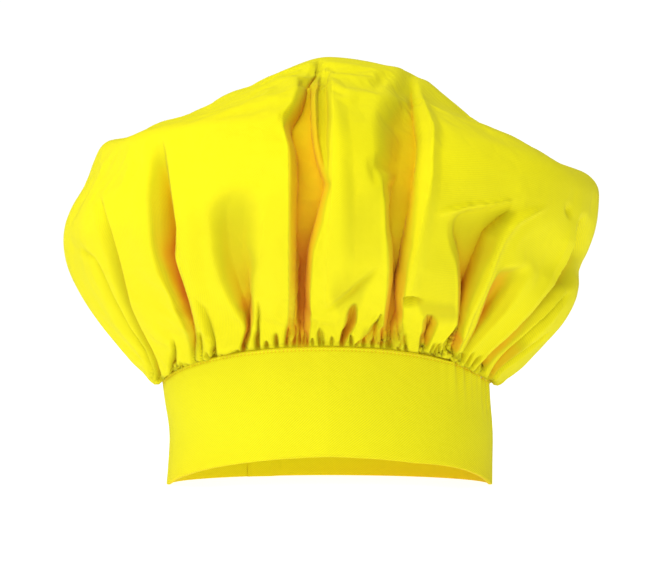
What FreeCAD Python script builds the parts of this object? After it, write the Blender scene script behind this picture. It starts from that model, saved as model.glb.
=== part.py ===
import FreeCAD, Part

import math
import os

from FreeCAD import Vector

# Chef toque: a gathered twill crown sewn into a folded, stiffened headband, with a
# hook-and-loop tab at the back. Millimetres. +Z up, origin on the table at the middle of the
# head opening, the wearer's face towards -Y. Left is -X and right is +X, as seen from the front.
# Angles run round the ring in degrees: 0 is right, 90 the middle of the back.
# Depths are distances inward from the ring's outer face; negative depths lie outside it.

# ---- headband ring, measured on its outer face ----
HALF_WIDTH = 108.0
HALF_DEPTH_BACK = 80.0
HALF_DEPTH_FRONT = 84.0  # at table height
FRONT_LEAN = 0.083  # the front wall leans back by this much per mm of height
# (height, half width, sideways shift of the ring's middle)
# The left wall is pinched at mid height.
RING_TABLE = [
    (-8, 108.4, -0.2), (12, 107.6, 0.8), (35, 107.2, 1.5),
    (58, 108.0, -0.8), (80, 108.8, -2.6), (110, 109.2, -3.0),
]
BAND_HEIGHT = 68.5  # at the back
LIFT_START = -12.0  # both edges rise in front of this Y
LIFT_BOTTOM = 18.5  # slope of the bottom edge's front, degrees
LIFT_TOP = 21.0  # slope of the top edge's front, degrees
LIFT_RADIUS = 60.0  # blend radius where the rise starts
EDGE_READ_Z = 60.0  # ring height at which an edge's Y is read

# ---- layers of the band, as (outer depth, inner depth) ----
FABRIC = 0.6  # twill as sewn
OUTER_LAYER = (0.0, FABRIC)
INTERFACING = (0.65, 1.05)
CROWN_ALLOWANCE = (1.15, 1.75)
FACING_LAYER = (2.15, 2.75)

# ---- closure at the back ----
UNDERLAP_END = 108.5
TAB_ROOT = 115.0
TAB_JOG_END = 107.5
TAB_END = 73.0
TAB_LAYER = (-3.85, -2.05)
TAB_ROOT_LAYER = (0.0, 1.0)
TAB_BOTTOM, TAB_TOP = 0.8, 67.6
HOOK_LAYER = (-2.0, -1.05)
LOOP_LAYER = (-1.0, -0.05)
HOOK_SPAN = (75.0, 102.0)
LOOP_SPAN = (60.5, 104.5)
TAPE_BOTTOM, TAPE_TOP = 21.5, 46.5
CLOSURE_READ_Z = 35.0  # the closure follows the ring's shape at this height

# ---- crown ----
ALLOWANCE_DEPTH = 11.0  # how far the gathered edge reaches down into the band
ALLOWANCE_HEIGHTS = (-ALLOWANCE_DEPTH, -8.0, -4.5, -1.5, 0.8)  # from the band's top edge
ROLL_RISE, ROLL_DEPTH = 2.6, -1.5  # where the fabric rolls out over the band's top edge
CROWN_WALL = 1.0
FOLD_DEPTH = 9.0
FOLD_WIDTH = 4.5  # spread of a valley, degrees
CROWN_TOP = (5.0, 283.4)  # the flat disc in the middle of the top: (radius, height)
# Outlines from the band's top edge to the middle of the top: (distance from middle, height).
LEFT = [
    (119, 70.5), (127, 77), (137, 87.5), (146, 98.5), (154, 109), (161, 119.5),
    (167.5, 130), (172.5, 141), (176, 152), (177.5, 163), (175.5, 175), (170.5, 187),
    (163.5, 200), (157, 212.5), (150.5, 223), (138, 230.5), (121, 237), (103, 243.5),
    (85, 250), (67, 258.5), (48, 267), (30, 275), (13, 281.5), CROWN_TOP,
]
RIGHT = [
    (114.5, 70.5), (124, 76.5), (135, 86.5), (145.5, 96), (154, 106), (160.5, 116.5),
    (164.5, 127), (167, 138), (169.5, 149.5), (174, 161.5), (178, 173.5), (179.5, 186),
    (179.5, 195), (175, 203), (165, 209), (151, 215.5), (136, 223.5), (120, 231.5),
    (104, 240), (89, 249.5), (70, 262.5), (50, 275), (22, 281.5), CROWN_TOP,
]
FRONT = [
    (84, 96), (92, 101.5), (101, 109.5), (110, 118.5), (118.5, 128), (125.5, 138),
    (131.5, 148.5), (136, 159), (139.5, 170), (141.5, 181), (141.5, 192), (139.5, 203),
    (135.5, 213.5), (129, 223), (120.5, 232), (110.5, 240), (99.5, 247), (87.5, 254),
    (74.5, 260.5), (61, 266.5), (46.5, 272.5), (31, 277.5), (15, 281.5), CROWN_TOP,
]
BACK = [
    (87, 71.5), (96, 78), (106.5, 86.5), (117.5, 96.5), (128, 107.5), (137.5, 119.5),
    (145.5, 132), (151.5, 145), (155.5, 158), (157.5, 171), (157, 184), (154, 196.5),
    (148.5, 208), (140.5, 218.5), (130.5, 228), (119, 236.5), (106.5, 244), (93, 251.5),
    (79, 258.5), (64, 265), (48.5, 271.5), (32, 277), (15.5, 281.5), CROWN_TOP,
]
# Angles of the valleys between the crown's big folds.
VALLEYS = [8, 31, 53, 74, 96, 119, 141, 164, 188, 214, 231, 260, 291, 318, 338]

# ---- care label, hanging inside the back left ----
LABEL_ANGLE = 140.0
LABEL_WIDTH, LABEL_DROP, LABEL_THICK = 25.0, 36.0, 0.8
LABEL_DEPTH = 4.6
LABEL_READ_Z = 50.0  # ring height that places the label
LABEL_TOP = 63.0
LABEL_STITCHES = 7
LABEL_STITCH_DOWN = 0.8  # the stitches' distance below the label's top edge

# ---- sewing thread ----
THREAD_RADIUS = 0.18
STITCH, PITCH = 2.3, 3.2
THREAD_OFFSET = THREAD_RADIUS + 0.03  # from a cloth face to the thread's axis
TOPSTITCH_DOWN = 2.2  # from a top edge
TAPE_STITCH_INSET = 2.2
RING_MM_PER_DEGREE = 1.88
TAB_STITCH_DEPTH = TAB_LAYER[0] - THREAD_OFFSET
GATHER_DEPTH = 1.95
GATHER_DOWNS = (5.0, 8.0)  # rows below the band's top edge
GATHER = dict(pitch=6.4, length=4.2, radius=0.12)

# ---- construction ----
ROUND_POINTS = 96  # points round a closed sheet
ROUND_ANGLES = [360.0 * i / ROUND_POINTS for i in range(ROUND_POINTS)]
TUBE_BOTTOM, TUBE_TOP, TUBE_ROWS = -7.0, 106.0, 13
PRISM_HALF_X, PRISM_HALF_Y = 200, 140
SECTOR_BOTTOM, SECTOR_TOP, SECTOR_DEPTH = -20.0, 130.0, 12.0


# ---------------------------------------------------------------- ring and band edges
def smooth_step(low, high, value):
    t = min(max((value - low) / float(high - low), 0.0), 1.0)
    return t * t * (3 - 2 * t)


def ring_value(z, column):
    """Value of a RING_TABLE column at height z, by cubic Hermite between the rows."""
    table, last = RING_TABLE, len(RING_TABLE) - 1
    z = min(max(z, table[0][0]), table[-1][0])
    i = 0
    while i < last - 1 and z > table[i + 1][0]:
        i += 1

    def slope(j):
        below, above = table[max(j - 1, 0)], table[min(j + 1, last)]
        return (above[column] - below[column]) / float(above[0] - below[0])

    height = float(table[i + 1][0] - table[i][0])
    t = (z - table[i][0]) / height
    return ((2 * t ** 3 - 3 * t ** 2 + 1) * table[i][column]
            + (t ** 3 - 2 * t ** 2 + t) * height * slope(i)
            + (-2 * t ** 3 + 3 * t ** 2) * table[i + 1][column]
            + (t ** 3 - t ** 2) * height * slope(i + 1))


def outer_face_xy(angle, z):
    """Point on the ring's outer face; angle in radians. The middle of the back is vertical."""
    sine, cosine = math.sin(angle), math.cos(angle)
    blend = 1.0 - smooth_step(0.2, 0.85, sine)
    half_width = HALF_WIDTH + (ring_value(z, 1) - HALF_WIDTH) * blend
    half_depth = HALF_DEPTH_BACK if sine > 0 else HALF_DEPTH_FRONT - FRONT_LEAN * z
    return half_width * cosine + ring_value(z, 2) * blend, half_depth * sine


def ring_point(degrees, z, depth=0.0):
    """Point at an angle and height, at a depth square to the outer face."""
    angle = math.radians(degrees)
    x, y = outer_face_xy(angle, z)
    nudge = 1e-4
    x0, y0 = outer_face_xy(angle - nudge, z)
    x1, y1 = outer_face_xy(angle + nudge, z)
    tangent_x, tangent_y = x1 - x0, y1 - y0
    size = math.hypot(tangent_x, tangent_y)
    return Vector(x - tangent_y / size * depth, y + tangent_x / size * depth, z)


def outward(degrees, z):
    return ring_point(degrees, z) - ring_point(degrees, z, 1.0)


def top_edge_z(y):
    """Height of the band's top edge at this Y: flat, an arc, then a straight rise."""
    angle = math.radians(LIFT_TOP)
    half = LIFT_RADIUS * math.tan(angle / 2)
    ahead = LIFT_START - y
    if ahead <= -half:
        return BAND_HEIGHT
    if ahead >= half * math.cos(angle):
        return BAND_HEIGHT + ahead * math.tan(angle)
    drop = math.sqrt(max(LIFT_RADIUS ** 2 - (ahead + half) ** 2, 0.0))
    return BAND_HEIGHT + LIFT_RADIUS - drop


def edge_point(degrees, rise, edge_depth, depth):
    """Point at a rise above the band's top edge, whose Y is read at edge_depth."""
    z = top_edge_z(ring_point(degrees, EDGE_READ_Z, edge_depth).y) + rise
    return ring_point(degrees, z, depth)


def edge_profile(height, degrees):
    """Side view of a band edge: back end, arc start, arc middle, arc end, front end."""
    angle = math.radians(degrees)
    half = LIFT_RADIUS * math.tan(angle / 2)
    arc_start = LIFT_START + half
    points = [
        (PRISM_HALF_Y, height),
        (arc_start, height),
        (arc_start - LIFT_RADIUS * math.sin(angle / 2),
         height + LIFT_RADIUS * (1 - math.cos(angle / 2))),
        (LIFT_START - half * math.cos(angle), height + half * math.sin(angle)),
        (-PRISM_HALF_Y, height + (LIFT_START + PRISM_HALF_Y) * math.tan(angle)),
    ]
    return [Vector(-PRISM_HALF_X, y, z) for y, z in points]


def line(start, end):
    return Part.LineSegment(start, end).toShape()


def band_prism(raise_bottom, lower_top):
    """Everything between the band's bottom and top edges, moved by the two distances."""
    bottom = edge_profile(raise_bottom, LIFT_BOTTOM)
    top = edge_profile(BAND_HEIGHT - lower_top, LIFT_TOP)
    edges = [
        line(bottom[0], bottom[1]),
        Part.Arc(bottom[1], bottom[2], bottom[3]).toShape(),
        line(bottom[3], bottom[4]),
        line(bottom[4], top[4]),
        line(top[4], top[3]),
        Part.Arc(top[3], top[2], top[1]).toShape(),
        line(top[1], top[0]),
        line(top[0], bottom[0]),
    ]
    return Part.Face(Part.Wire(edges)).extrude(Vector(2 * PRISM_HALF_X, 0, 0))


# ---------------------------------------------------------------- surfaces and blocks
def periodic_poles(points):
    """Poles of the uniform periodic cubic through the points, by repeated relaxation."""
    count = len(points)
    poles = [Vector(p) for p in points]
    for _ in range(60):
        for i in range(count):
            poles[i] = (points[i] * 6.0 - poles[i - 1] - poles[(i + 1) % count]) * 0.25
    return poles


def closed_sheet(rows):
    """Cubic face, closed round the hat and clamped at its first and last row."""
    net = [periodic_poles(row) for row in rows]
    around, up = len(net[0]), len(net)
    poles = [[net[j][i] for j in range(up)] for i in range(around)]
    surface = Part.BSplineSurface()
    surface.buildFromPolesMultsKnots(
        poles,
        [1] * (around + 1),
        [4] + [1] * (up - 4) + [4],
        [float(i) for i in range(around + 1)],
        [float(i) for i in range(up - 2)],
        True, False, 3, 3)
    return surface.toShape()


def end_edge(face, height):
    """The closed boundary edge of a sheet whose middle height is nearest a value."""

    def distance(edge):
        box = edge.BoundBox
        return abs((box.ZMin + box.ZMax) / 2 - height)

    return min([edge for edge in face.Edges if edge.isClosed()], key=distance)


def make_solid(faces):
    shell = Part.makeShell(faces)
    shell.sewShape()
    solid = Part.makeSolid(shell)
    if solid.Volume < 0:
        solid.reverse()
    if not solid.isValid():
        solid.fix(1e-4, 1e-5, 1e-3)
    return solid


def tube(outer_depth, inner_depth):
    """Closed wall between two depths, standing past both edges of the band."""
    heights = [TUBE_BOTTOM + (TUBE_TOP - TUBE_BOTTOM) * j / float(TUBE_ROWS - 1)
               for j in range(TUBE_ROWS)]
    faces = []
    for depth in (outer_depth, inner_depth):
        faces.append(closed_sheet([[ring_point(a, z, depth) for a in ROUND_ANGLES]
                                   for z in heights]))
    outer, inner = faces
    for z in (TUBE_BOTTOM, TUBE_TOP):
        faces.append(Part.Face([Part.Wire(end_edge(outer, z)), Part.Wire(end_edge(inner, z))]))
    return make_solid(faces)


def curved_plate(span, outer_depth, inner_depth, bottom, top):
    """Upright plate along the ring. A depth may be a function of the angle."""

    def path(depth):
        start, end = span
        steps = max(4, int(abs(end - start) / 2.5) + 1)
        points = []
        for i in range(steps + 1):
            angle = start + (end - start) * i / float(steps)
            here = depth(angle) if callable(depth) else depth
            point = ring_point(angle, CLOSURE_READ_Z, here)
            points.append(Vector(point.x, point.y, bottom))
        curve = Part.BSplineCurve()
        curve.interpolate(points)
        return curve.toShape(), points[0], points[-1]

    outer, outer_start, outer_end = path(outer_depth)
    inner, inner_start, inner_end = path(inner_depth)
    wire = Part.Wire([outer, line(outer_end, inner_end), inner, line(inner_start, outer_start)])
    return Part.Face(wire).extrude(Vector(0, 0, top - bottom))


def sector(start, end):
    """A block that holds the ring's wall between two angles."""
    rows = []
    for depth in (-SECTOR_DEPTH, SECTOR_DEPTH):
        row = [ring_point(start + (end - start) * i / 4.0, CLOSURE_READ_Z, depth)
               for i in range(5)]
        rows.append([Vector(p.x, p.y, SECTOR_BOTTOM) for p in row])
    points = rows[0] + rows[1][::-1]
    face = Part.Face(Part.makePolygon(points + [points[0]]))
    return face.extrude(Vector(0, 0, SECTOR_TOP - SECTOR_BOTTOM))


# ---------------------------------------------------------------- stitches
def stitch(centre, along, length=STITCH, radius=THREAD_RADIUS):
    along = Vector(along).normalize()
    return Part.makeCylinder(radius, length, centre - along * (length / 2.0), along)


def stitch_row(start, end, depth, height_at, pitch=PITCH, length=STITCH, radius=THREAD_RADIUS):
    """Stitches along the ring between two angles; height_at gives the height for a Y."""
    stitches, steps = [], 2000
    last, run, target = None, 0.0, pitch / 2
    for i in range(steps + 1):
        angle = start + (end - start) * i / float(steps)
        z = height_at(ring_point(angle, EDGE_READ_Z).y)
        point = ring_point(angle, z, depth)
        if last is not None:
            run += (point - last).Length
            if run >= target:
                stitches.append(stitch(point, point - last, length, radius))
                target += pitch
        last = point
    return stitches


def stitch_column(angle, depth, heights):
    """Upright stitches, one above the other."""
    foot = ring_point(angle, CLOSURE_READ_Z, depth)
    return [stitch(Vector(foot.x, foot.y, z), Vector(0, 0, 1)) for z in heights]


def tape_stitches(span, depth):
    """Stitches in a rectangle just inside a tape's edges."""
    inset = TAPE_STITCH_INSET
    start = span[0] + inset / RING_MM_PER_DEGREE
    end = span[1] - inset / RING_MM_PER_DEGREE
    bottom, height = TAPE_BOTTOM + inset, TAPE_TOP - TAPE_BOTTOM - 2 * inset
    stitches = []
    for z in (bottom, TAPE_TOP - inset):
        stitches += stitch_row(start, end, depth, lambda y, z=z: z)
    count = int((height - 2.0) / PITCH)
    heights = [bottom + height * (i + 0.5) / count for i in range(count)]
    for angle in (start, end):
        stitches += stitch_column(angle, depth, heights)
    return stitches


def band_topstitching():
    return stitch_row(TAB_ROOT + 1.2, 360 + TAB_END - 2.0, -THREAD_OFFSET,
                      lambda y: top_edge_z(y) - TOPSTITCH_DOWN)


def crown_gathering_thread():
    stitches = []
    for down in GATHER_DOWNS:
        stitches += stitch_row(TAB_ROOT + 2, 360 + UNDERLAP_END - 2, GATHER_DEPTH,
                               lambda y, down=down: top_edge_z(y) - down, **GATHER)
    return stitches


def tab_topstitching():
    """A row under the tab's top edge and a column beside its free end."""
    row = stitch_row(TAB_END + 1.8, TAB_JOG_END - 0.6, TAB_STITCH_DEPTH,
                     lambda y: TAB_TOP - TOPSTITCH_DOWN)
    height = TAB_TOP - TAB_BOTTOM
    count = int((height - 8) / PITCH)
    heights = [TAB_BOTTOM + 3 + (height - 7.5) * i / (count - 1.0) for i in range(count)]
    return row + stitch_column(TAB_END + 1.5, TAB_STITCH_DEPTH, heights)


# ---------------------------------------------------------------- crown
def fold_shift(degrees, share):
    """Inward shift of the folds; share is near 0 at the band and 1 at the top's middle."""
    nearest = min(abs((degrees - v + 180) % 360 - 180) for v in VALLEYS)
    fade = smooth_step(0.0, 0.22, share) * (1 - smooth_step(0.55, 0.9, share))
    return FOLD_DEPTH * fade * (math.exp(-(nearest / FOLD_WIDTH) ** 2) - 0.25)


def crown_point(degrees, level):
    """Point between the side outline and the front or back outline at a table row."""
    angle = math.radians(degrees)
    cosine, sine = math.cos(angle), math.sin(angle)
    side, side_z = (RIGHT if cosine > 0 else LEFT)[level]
    end, end_z = (BACK if sine > 0 else FRONT)[level]
    shift = fold_shift(degrees, (level + 1) / float(len(LEFT)))
    scale = 1.0 - shift / math.hypot(side * cosine, end * sine)
    return Vector(side * cosine * scale, end * sine * scale,
                  side_z * cosine * cosine + end_z * sine * sine)


def crown_rows():
    """Rows of the crown's outside: the part in the band, the roll-out, the outlines."""
    depth = CROWN_ALLOWANCE[0]
    rows = [[edge_point(a, rise, depth, depth) for a in ROUND_ANGLES]
            for rise in ALLOWANCE_HEIGHTS]
    rows.append([edge_point(a, ROLL_RISE, 0.0, ROLL_DEPTH) for a in ROUND_ANGLES])
    for level in range(len(LEFT)):
        rows.append([crown_point(a, level) for a in ROUND_ANGLES])
    return rows


def inner_rows(rows):
    """The crown's inside: each point moved in along the surface's normal."""
    inside, last = [], len(rows) - 1
    skirt = CROWN_ALLOWANCE[1] - CROWN_ALLOWANCE[0]
    for j, current in enumerate(rows):
        growth = min(max((j - 3) / 3.0, 0.0), 1.0)
        thickness = skirt + (CROWN_WALL - skirt) * growth
        row = []
        for i, point in enumerate(current):
            if j == last:
                normal = Vector(0, 0, 1)
            elif j < len(ALLOWANCE_HEIGHTS):
                normal = outward(ROUND_ANGLES[i], point.z)
            else:
                around = current[(i + 1) % ROUND_POINTS] - current[i - 1]
                normal = around.cross(rows[j + 1][i] - rows[j - 1][i])
            normal.normalize()
            row.append(point - normal * thickness)
        inside.append(row)
    return inside


def crown():
    rows = crown_rows()
    outer, inner = closed_sheet(rows), closed_sheet(inner_rows(rows))
    faces = [outer, inner]
    faces.append(Part.makeRuledSurface(end_edge(outer, BAND_HEIGHT),
                                       end_edge(inner, BAND_HEIGHT)))
    for sheet in (outer, inner):
        faces.append(Part.Face(Part.Wire(end_edge(sheet, CROWN_TOP[1]))))
    return make_solid(faces)


# ---------------------------------------------------------------- headband and closure
def headband():
    """Outer layer and facing joined at the bottom fold, open at the top and at the back gap."""
    wall = tube(OUTER_LAYER[0], FACING_LAYER[1]).common(band_prism(0.0, 0.0))
    pocket = tube(OUTER_LAYER[1], FACING_LAYER[0]).common(band_prism(FABRIC, -30.0))
    return wall.cut(pocket).cut(sector(UNDERLAP_END, TAB_ROOT))


def band_interfacing():
    sheet = tube(*INTERFACING).common(band_prism(FABRIC + 0.4, 1.0))
    return sheet.cut(sector(UNDERLAP_END - 0.6, TAB_ROOT + 0.6))


def tab_depth(side):
    """Depth of a tab face by angle, jogging in to the root. Side 0 is outer, 1 is inner."""
    tab, root = TAB_LAYER[side], TAB_ROOT_LAYER[side]
    return lambda angle: tab + (root - tab) * smooth_step(TAB_JOG_END, TAB_ROOT - 0.8, angle)


def tab_insert(end_gap, face_gap, bottom, top):
    """Plate inside the tab, clear of its ends and faces by the two gaps."""
    return curved_plate((TAB_END + end_gap, TAB_JOG_END - end_gap),
                        TAB_LAYER[0] + face_gap, TAB_LAYER[1] - face_gap, bottom, top)


def tab_cover():
    """The tab's fabric, hollow and open at the top."""
    plate = curved_plate((TAB_END, TAB_ROOT - 0.1), tab_depth(0), tab_depth(1),
                         TAB_BOTTOM, TAB_TOP)
    return plate.cut(tab_insert(1.0, FABRIC, TAB_BOTTOM + FABRIC, TAB_TOP + 5))


def tab_interfacing():
    return tab_insert(1.4, FABRIC + 0.08, TAB_BOTTOM + FABRIC + 0.2, TAB_TOP - 0.6)


def tape(span, layer):
    return curved_plate(span, layer[0], layer[1], TAPE_BOTTOM, TAPE_TOP)


# ---------------------------------------------------------------- care label
def label_frame():
    """Middle of the label's top edge on the wall side, direction inward, direction along."""
    place = ring_point(LABEL_ANGLE, LABEL_READ_Z, LABEL_DEPTH)
    inward = outward(LABEL_ANGLE, LABEL_READ_Z) * -1.0
    inward.normalize()
    return Vector(place.x, place.y, LABEL_TOP), inward, Vector(0, 0, 1).cross(inward)


def care_label():
    origin, inward, along = label_frame()
    half = along * (LABEL_WIDTH / 2.0)
    down = Vector(0, 0, -LABEL_DROP)
    corners = [origin - half, origin + half, origin + half + down, origin - half + down]
    face = Part.Face(Part.makePolygon(corners + [corners[0]]))
    return face.extrude(inward * LABEL_THICK)


def care_label_stitches():
    origin, inward, along = label_frame()
    middle = origin + Vector(0, 0, -LABEL_STITCH_DOWN) + inward * (LABEL_THICK + THREAD_OFFSET)
    return [stitch(middle + along * ((k - LABEL_STITCHES // 2) * PITCH), along)
            for k in range(LABEL_STITCHES)]


def export(name, *shapes):
    solids = [solid for shape in shapes for solid in shape.Solids]
    result = solids[0] if len(solids) == 1 else Part.makeCompound(solids)
    result.exportStep(os.path.join("parts", name + ".step"))


def main():
    os.makedirs("parts", exist_ok=True)
    export("crown", crown())
    export("headband", headband())
    export("band_interfacing", band_interfacing())
    export("closure_tab_cover", tab_cover())
    export("closure_tab_interfacing", tab_interfacing())
    export("hook_tape", tape(HOOK_SPAN, HOOK_LAYER))
    export("loop_tape", tape(LOOP_SPAN, LOOP_LAYER))
    export("care_label", care_label())
    export("care_label_stitches", *care_label_stitches())
    export("band_topstitching", *band_topstitching())
    export("crown_gathering_thread", *crown_gathering_thread())
    export("closure_tab_topstitching", *tab_topstitching())
    export("hook_tape_stitches", *tape_stitches(HOOK_SPAN, TAB_STITCH_DEPTH))
    export("loop_tape_stitches", *tape_stitches(LOOP_SPAN, FACING_LAYER[1] + THREAD_OFFSET))


main()
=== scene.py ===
"""Chef toque: a gathered twill crown on a headband that closes at the back with a hook and loop tab.

The hat stands on z = 0. Its front faces -Y and its back, with the tab, +Y. Angles round the band
run from +X (0 degrees) through the back (90). Script lengths are millimetres, meshes are metres.
"""
import math

import bmesh
import bpy
import numpy as np
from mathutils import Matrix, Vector


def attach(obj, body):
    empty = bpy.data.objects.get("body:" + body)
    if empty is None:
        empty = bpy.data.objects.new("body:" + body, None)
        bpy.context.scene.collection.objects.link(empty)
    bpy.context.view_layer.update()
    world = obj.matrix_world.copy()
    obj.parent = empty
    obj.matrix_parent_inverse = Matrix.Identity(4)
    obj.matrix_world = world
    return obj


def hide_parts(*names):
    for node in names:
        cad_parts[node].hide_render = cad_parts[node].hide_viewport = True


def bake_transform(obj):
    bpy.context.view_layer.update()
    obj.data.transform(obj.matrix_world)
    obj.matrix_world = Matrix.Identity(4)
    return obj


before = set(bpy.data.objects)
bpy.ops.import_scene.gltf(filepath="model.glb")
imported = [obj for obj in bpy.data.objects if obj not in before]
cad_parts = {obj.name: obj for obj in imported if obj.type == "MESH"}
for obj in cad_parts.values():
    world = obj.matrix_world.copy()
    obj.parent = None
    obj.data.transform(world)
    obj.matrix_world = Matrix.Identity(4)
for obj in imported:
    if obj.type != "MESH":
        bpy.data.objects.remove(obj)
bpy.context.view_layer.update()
scene = bpy.context.scene
MM = 0.001
UP = np.array([0, 0, 1.0])


def table(text):
    """Array from rows of numbers that are parted by semicolons."""
    return np.array([row.split() for row in text.split(";")], float)


# ------------------------------------------------------------------ driving sizes
HALF_WIDTH = 108.0
HALF_DEPTH_BACK, HALF_DEPTH_FRONT = 80.0, 84.0
FRONT_LEAN = 0.083  # depth the front loses per mm of height
# Front and sides of the ring: height, half width, shift along x
RING_TABLE = table("""-8 108.4 -0.2; 12 107.6 0.8; 35 107.2 1.5; 58 108 -0.8; 80 108.8 -2.6;
    110 109.2 -3""")
LEVEL = 35.0  # height whose ring the upright pieces follow
STITCH_LEVEL = 60.0  # height whose ring gives the band's upper edge

# The band lifts off the ground in front of LIFT_START; the angles are degrees.
BAND_HEIGHT = 68.5
LIFT_START, LIFT_RADIUS = -12.0, 60.0
LIFT_BOTTOM, LIFT_TOP = 18.5, 21.0

# Closure, as angles round the ring, inward distances and heights
UNDERLAP_END, TAB_ROOT, TAB_JOG_END, TAB_END = 108.5, 115.0, 107.5, 73.0
TAB_OUT, TAB_IN, TAB_BOTTOM, TAB_TOP = -3.85, -2.05, 0.8, 67.6
TAPE_BOTTOM, TAPE_TOP = 21.5, 46.5
HOOK_START, HOOK_END = 75.0, 102.0
LOOP_START, LOOP_END = 60.5, 104.5
MM_PER_DEGREE = 1.88  # along the tapes
WEAVE_RADIUS = 96  # turns an angle into a length for wrinkles

STITCH_PITCH, TAPE_STITCH_PITCH = 2.55, 2.4
STITCH_INSET = 2.2  # from an edge to its row of stitches

EYE_X, EYE_Z, EYE_DISTANCE = -2.7, 131.5, 1700.0  # the camera, and the centre of the front's view
VIEW_WIDTH = 431.6  # seen in the plane y = 0

# Crown grid: columns round the hat by rows from the middle of the top (0) to the seam (1) and on
COLUMNS, ROWS = 1152, 215
DOWN = np.linspace(0, 1.03, ROWS)
PHI = np.arange(COLUMNS) * 2 * math.pi / COLUMNS
COLUMN_DEG = np.degrees(PHI - 0.30 * np.cos(PHI))  # the columns stand closer together in front
CLOTH_RADIUS = 327.0  # flat round of cloth, from the middle to the seam
WIDEST = 0.52  # row share at the crown's widest ring


# ------------------------------------------------------------------ shape of the ring
def smooth(low, high, x):
    t = np.clip((np.asarray(x, float) - low) / (high - low), 0, 1)
    return t * t * (3 - 2 * t)


def ring_value(z, column):
    """A column of RING_TABLE at height z, on a cubic through its rows."""
    heights, values = RING_TABLE[:, 0], RING_TABLE[:, column]
    z = np.clip(z, heights[0], heights[-1])
    count = len(heights)
    after = np.minimum(np.arange(count) + 1, count - 1)
    before = np.maximum(np.arange(count) - 1, 0)
    slope = (values[after] - values[before]) / (heights[after] - heights[before])
    i = np.clip(np.searchsorted(heights, z, side="left") - 1, 0, count - 2)
    gap = heights[i + 1] - heights[i]
    t = (z - heights[i]) / gap
    return ((2 * t ** 3 - 3 * t ** 2 + 1) * values[i]
            + (t ** 3 - 2 * t ** 2 + t) * gap * slope[i]
            + (-2 * t ** 3 + 3 * t ** 2) * values[i + 1]
            + (t ** 3 - t ** 2) * gap * slope[i + 1])


def ring(deg, z, inward=0.0):
    """x, y at an angle and height, a distance inward of the band's outer face."""
    deg, z, inward = np.broadcast_arrays(*[np.asarray(q, float) for q in (deg, z, inward)])

    def outline(angle):
        sine, cosine = np.sin(angle), np.cos(angle)
        shaped = 1.0 - smooth(0.2, 0.85, sine)
        half_width = HALF_WIDTH + (ring_value(z, 1) - HALF_WIDTH) * shaped
        half_depth = np.where(sine > 0, HALF_DEPTH_BACK, HALF_DEPTH_FRONT - FRONT_LEAN * z)
        return half_width * cosine + ring_value(z, 2) * shaped, half_depth * sine

    angle = np.radians(deg)
    x, y = outline(angle)
    x0, y0 = outline(angle - 1e-4)
    x1, y1 = outline(angle + 1e-4)
    along_x, along_y = x1 - x0, y1 - y0
    length = np.hypot(along_x, along_y)
    return x - along_y / length * inward, y + along_x / length * inward


def ring_run(deg, z):
    """Length along the ring from the first angle to each angle."""
    steps = np.hypot(*np.diff(np.array(ring(deg, z)), axis=1))
    return np.concatenate([[0], np.cumsum(steps)])


def lift(y, angle):
    """Rise of an edge towards the front: flat, then an arc, then a straight slope."""
    half = LIFT_RADIUS * math.tan(math.radians(angle) / 2)
    ahead = LIFT_START - np.asarray(y, float)
    reach = np.clip(ahead + half, 0, LIFT_RADIUS)
    arc = LIFT_RADIUS - np.sqrt(np.maximum(LIFT_RADIUS ** 2 - reach ** 2, 0))
    slope = ahead * math.tan(math.radians(angle))
    straight = ahead >= half * math.cos(math.radians(angle))
    return np.where(ahead <= -half, 0.0, np.where(straight, slope, arc))


def z_bottom(y):
    return lift(y, LIFT_BOTTOM)


def z_top(y):
    return BAND_HEIGHT + lift(y, LIFT_TOP)


# ------------------------------------------------------------------ mesh helpers
def mesh_object(name, verts_mm, faces, uv=None, attrs=None, mat=None):
    """faces is an array with a face in each row, or a list of such arrays. uv is per vertex."""
    groups = faces if isinstance(faces, list) else [faces]
    mesh = bpy.data.meshes.new(name)
    verts = np.asarray(verts_mm, float) * MM
    mesh.vertices.add(len(verts))
    mesh.vertices.foreach_set("co", verts.astype(np.float32).ravel())
    loops = np.concatenate([np.asarray(g, np.int32).ravel() for g in groups])
    sizes = np.concatenate([np.full(len(g), g.shape[1], np.int32) for g in groups])
    starts = np.concatenate([[0], np.cumsum(sizes)[:-1]]).astype(np.int32)
    mesh.loops.add(len(loops))
    mesh.loops.foreach_set("vertex_index", loops)
    mesh.polygons.add(len(sizes))
    mesh.polygons.foreach_set("loop_start", starts)
    mesh.polygons.foreach_set("use_smooth", np.ones(len(sizes), bool))
    mesh.update(calc_edges=True)
    mesh.validate()
    if uv is not None:
        layer = mesh.uv_layers.new(name="weave")
        corner = np.zeros(len(mesh.loops), np.int32)
        mesh.loops.foreach_get("vertex_index", corner)
        layer.data.foreach_set("uv", np.asarray(uv, np.float32)[corner].ravel())
    for key, values in (attrs or {}).items():
        attribute = mesh.attributes.new(key, "FLOAT", "POINT")
        attribute.data.foreach_set("value", np.asarray(values, np.float32))
    ob = bpy.data.objects.new(name, mesh)
    scene.collection.objects.link(ob)
    if mat is not None:
        mesh.materials.append(mat)
    return ob


def grid_faces(nu, nv, wrap_u=False, wrap_v=False, flip=False):
    i = np.arange(nu if wrap_u else nu - 1)
    j = np.arange(nv if wrap_v else nv - 1)
    a, b = [q.ravel() for q in np.meshgrid(i, j, indexing="ij")]
    a2, b2 = (a + 1) % nu, (b + 1) % nv
    quads = np.stack([a * nv + b, a2 * nv + b, a2 * nv + b2, a * nv + b2], 1)
    return quads[:, ::-1] if flip else quads


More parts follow.
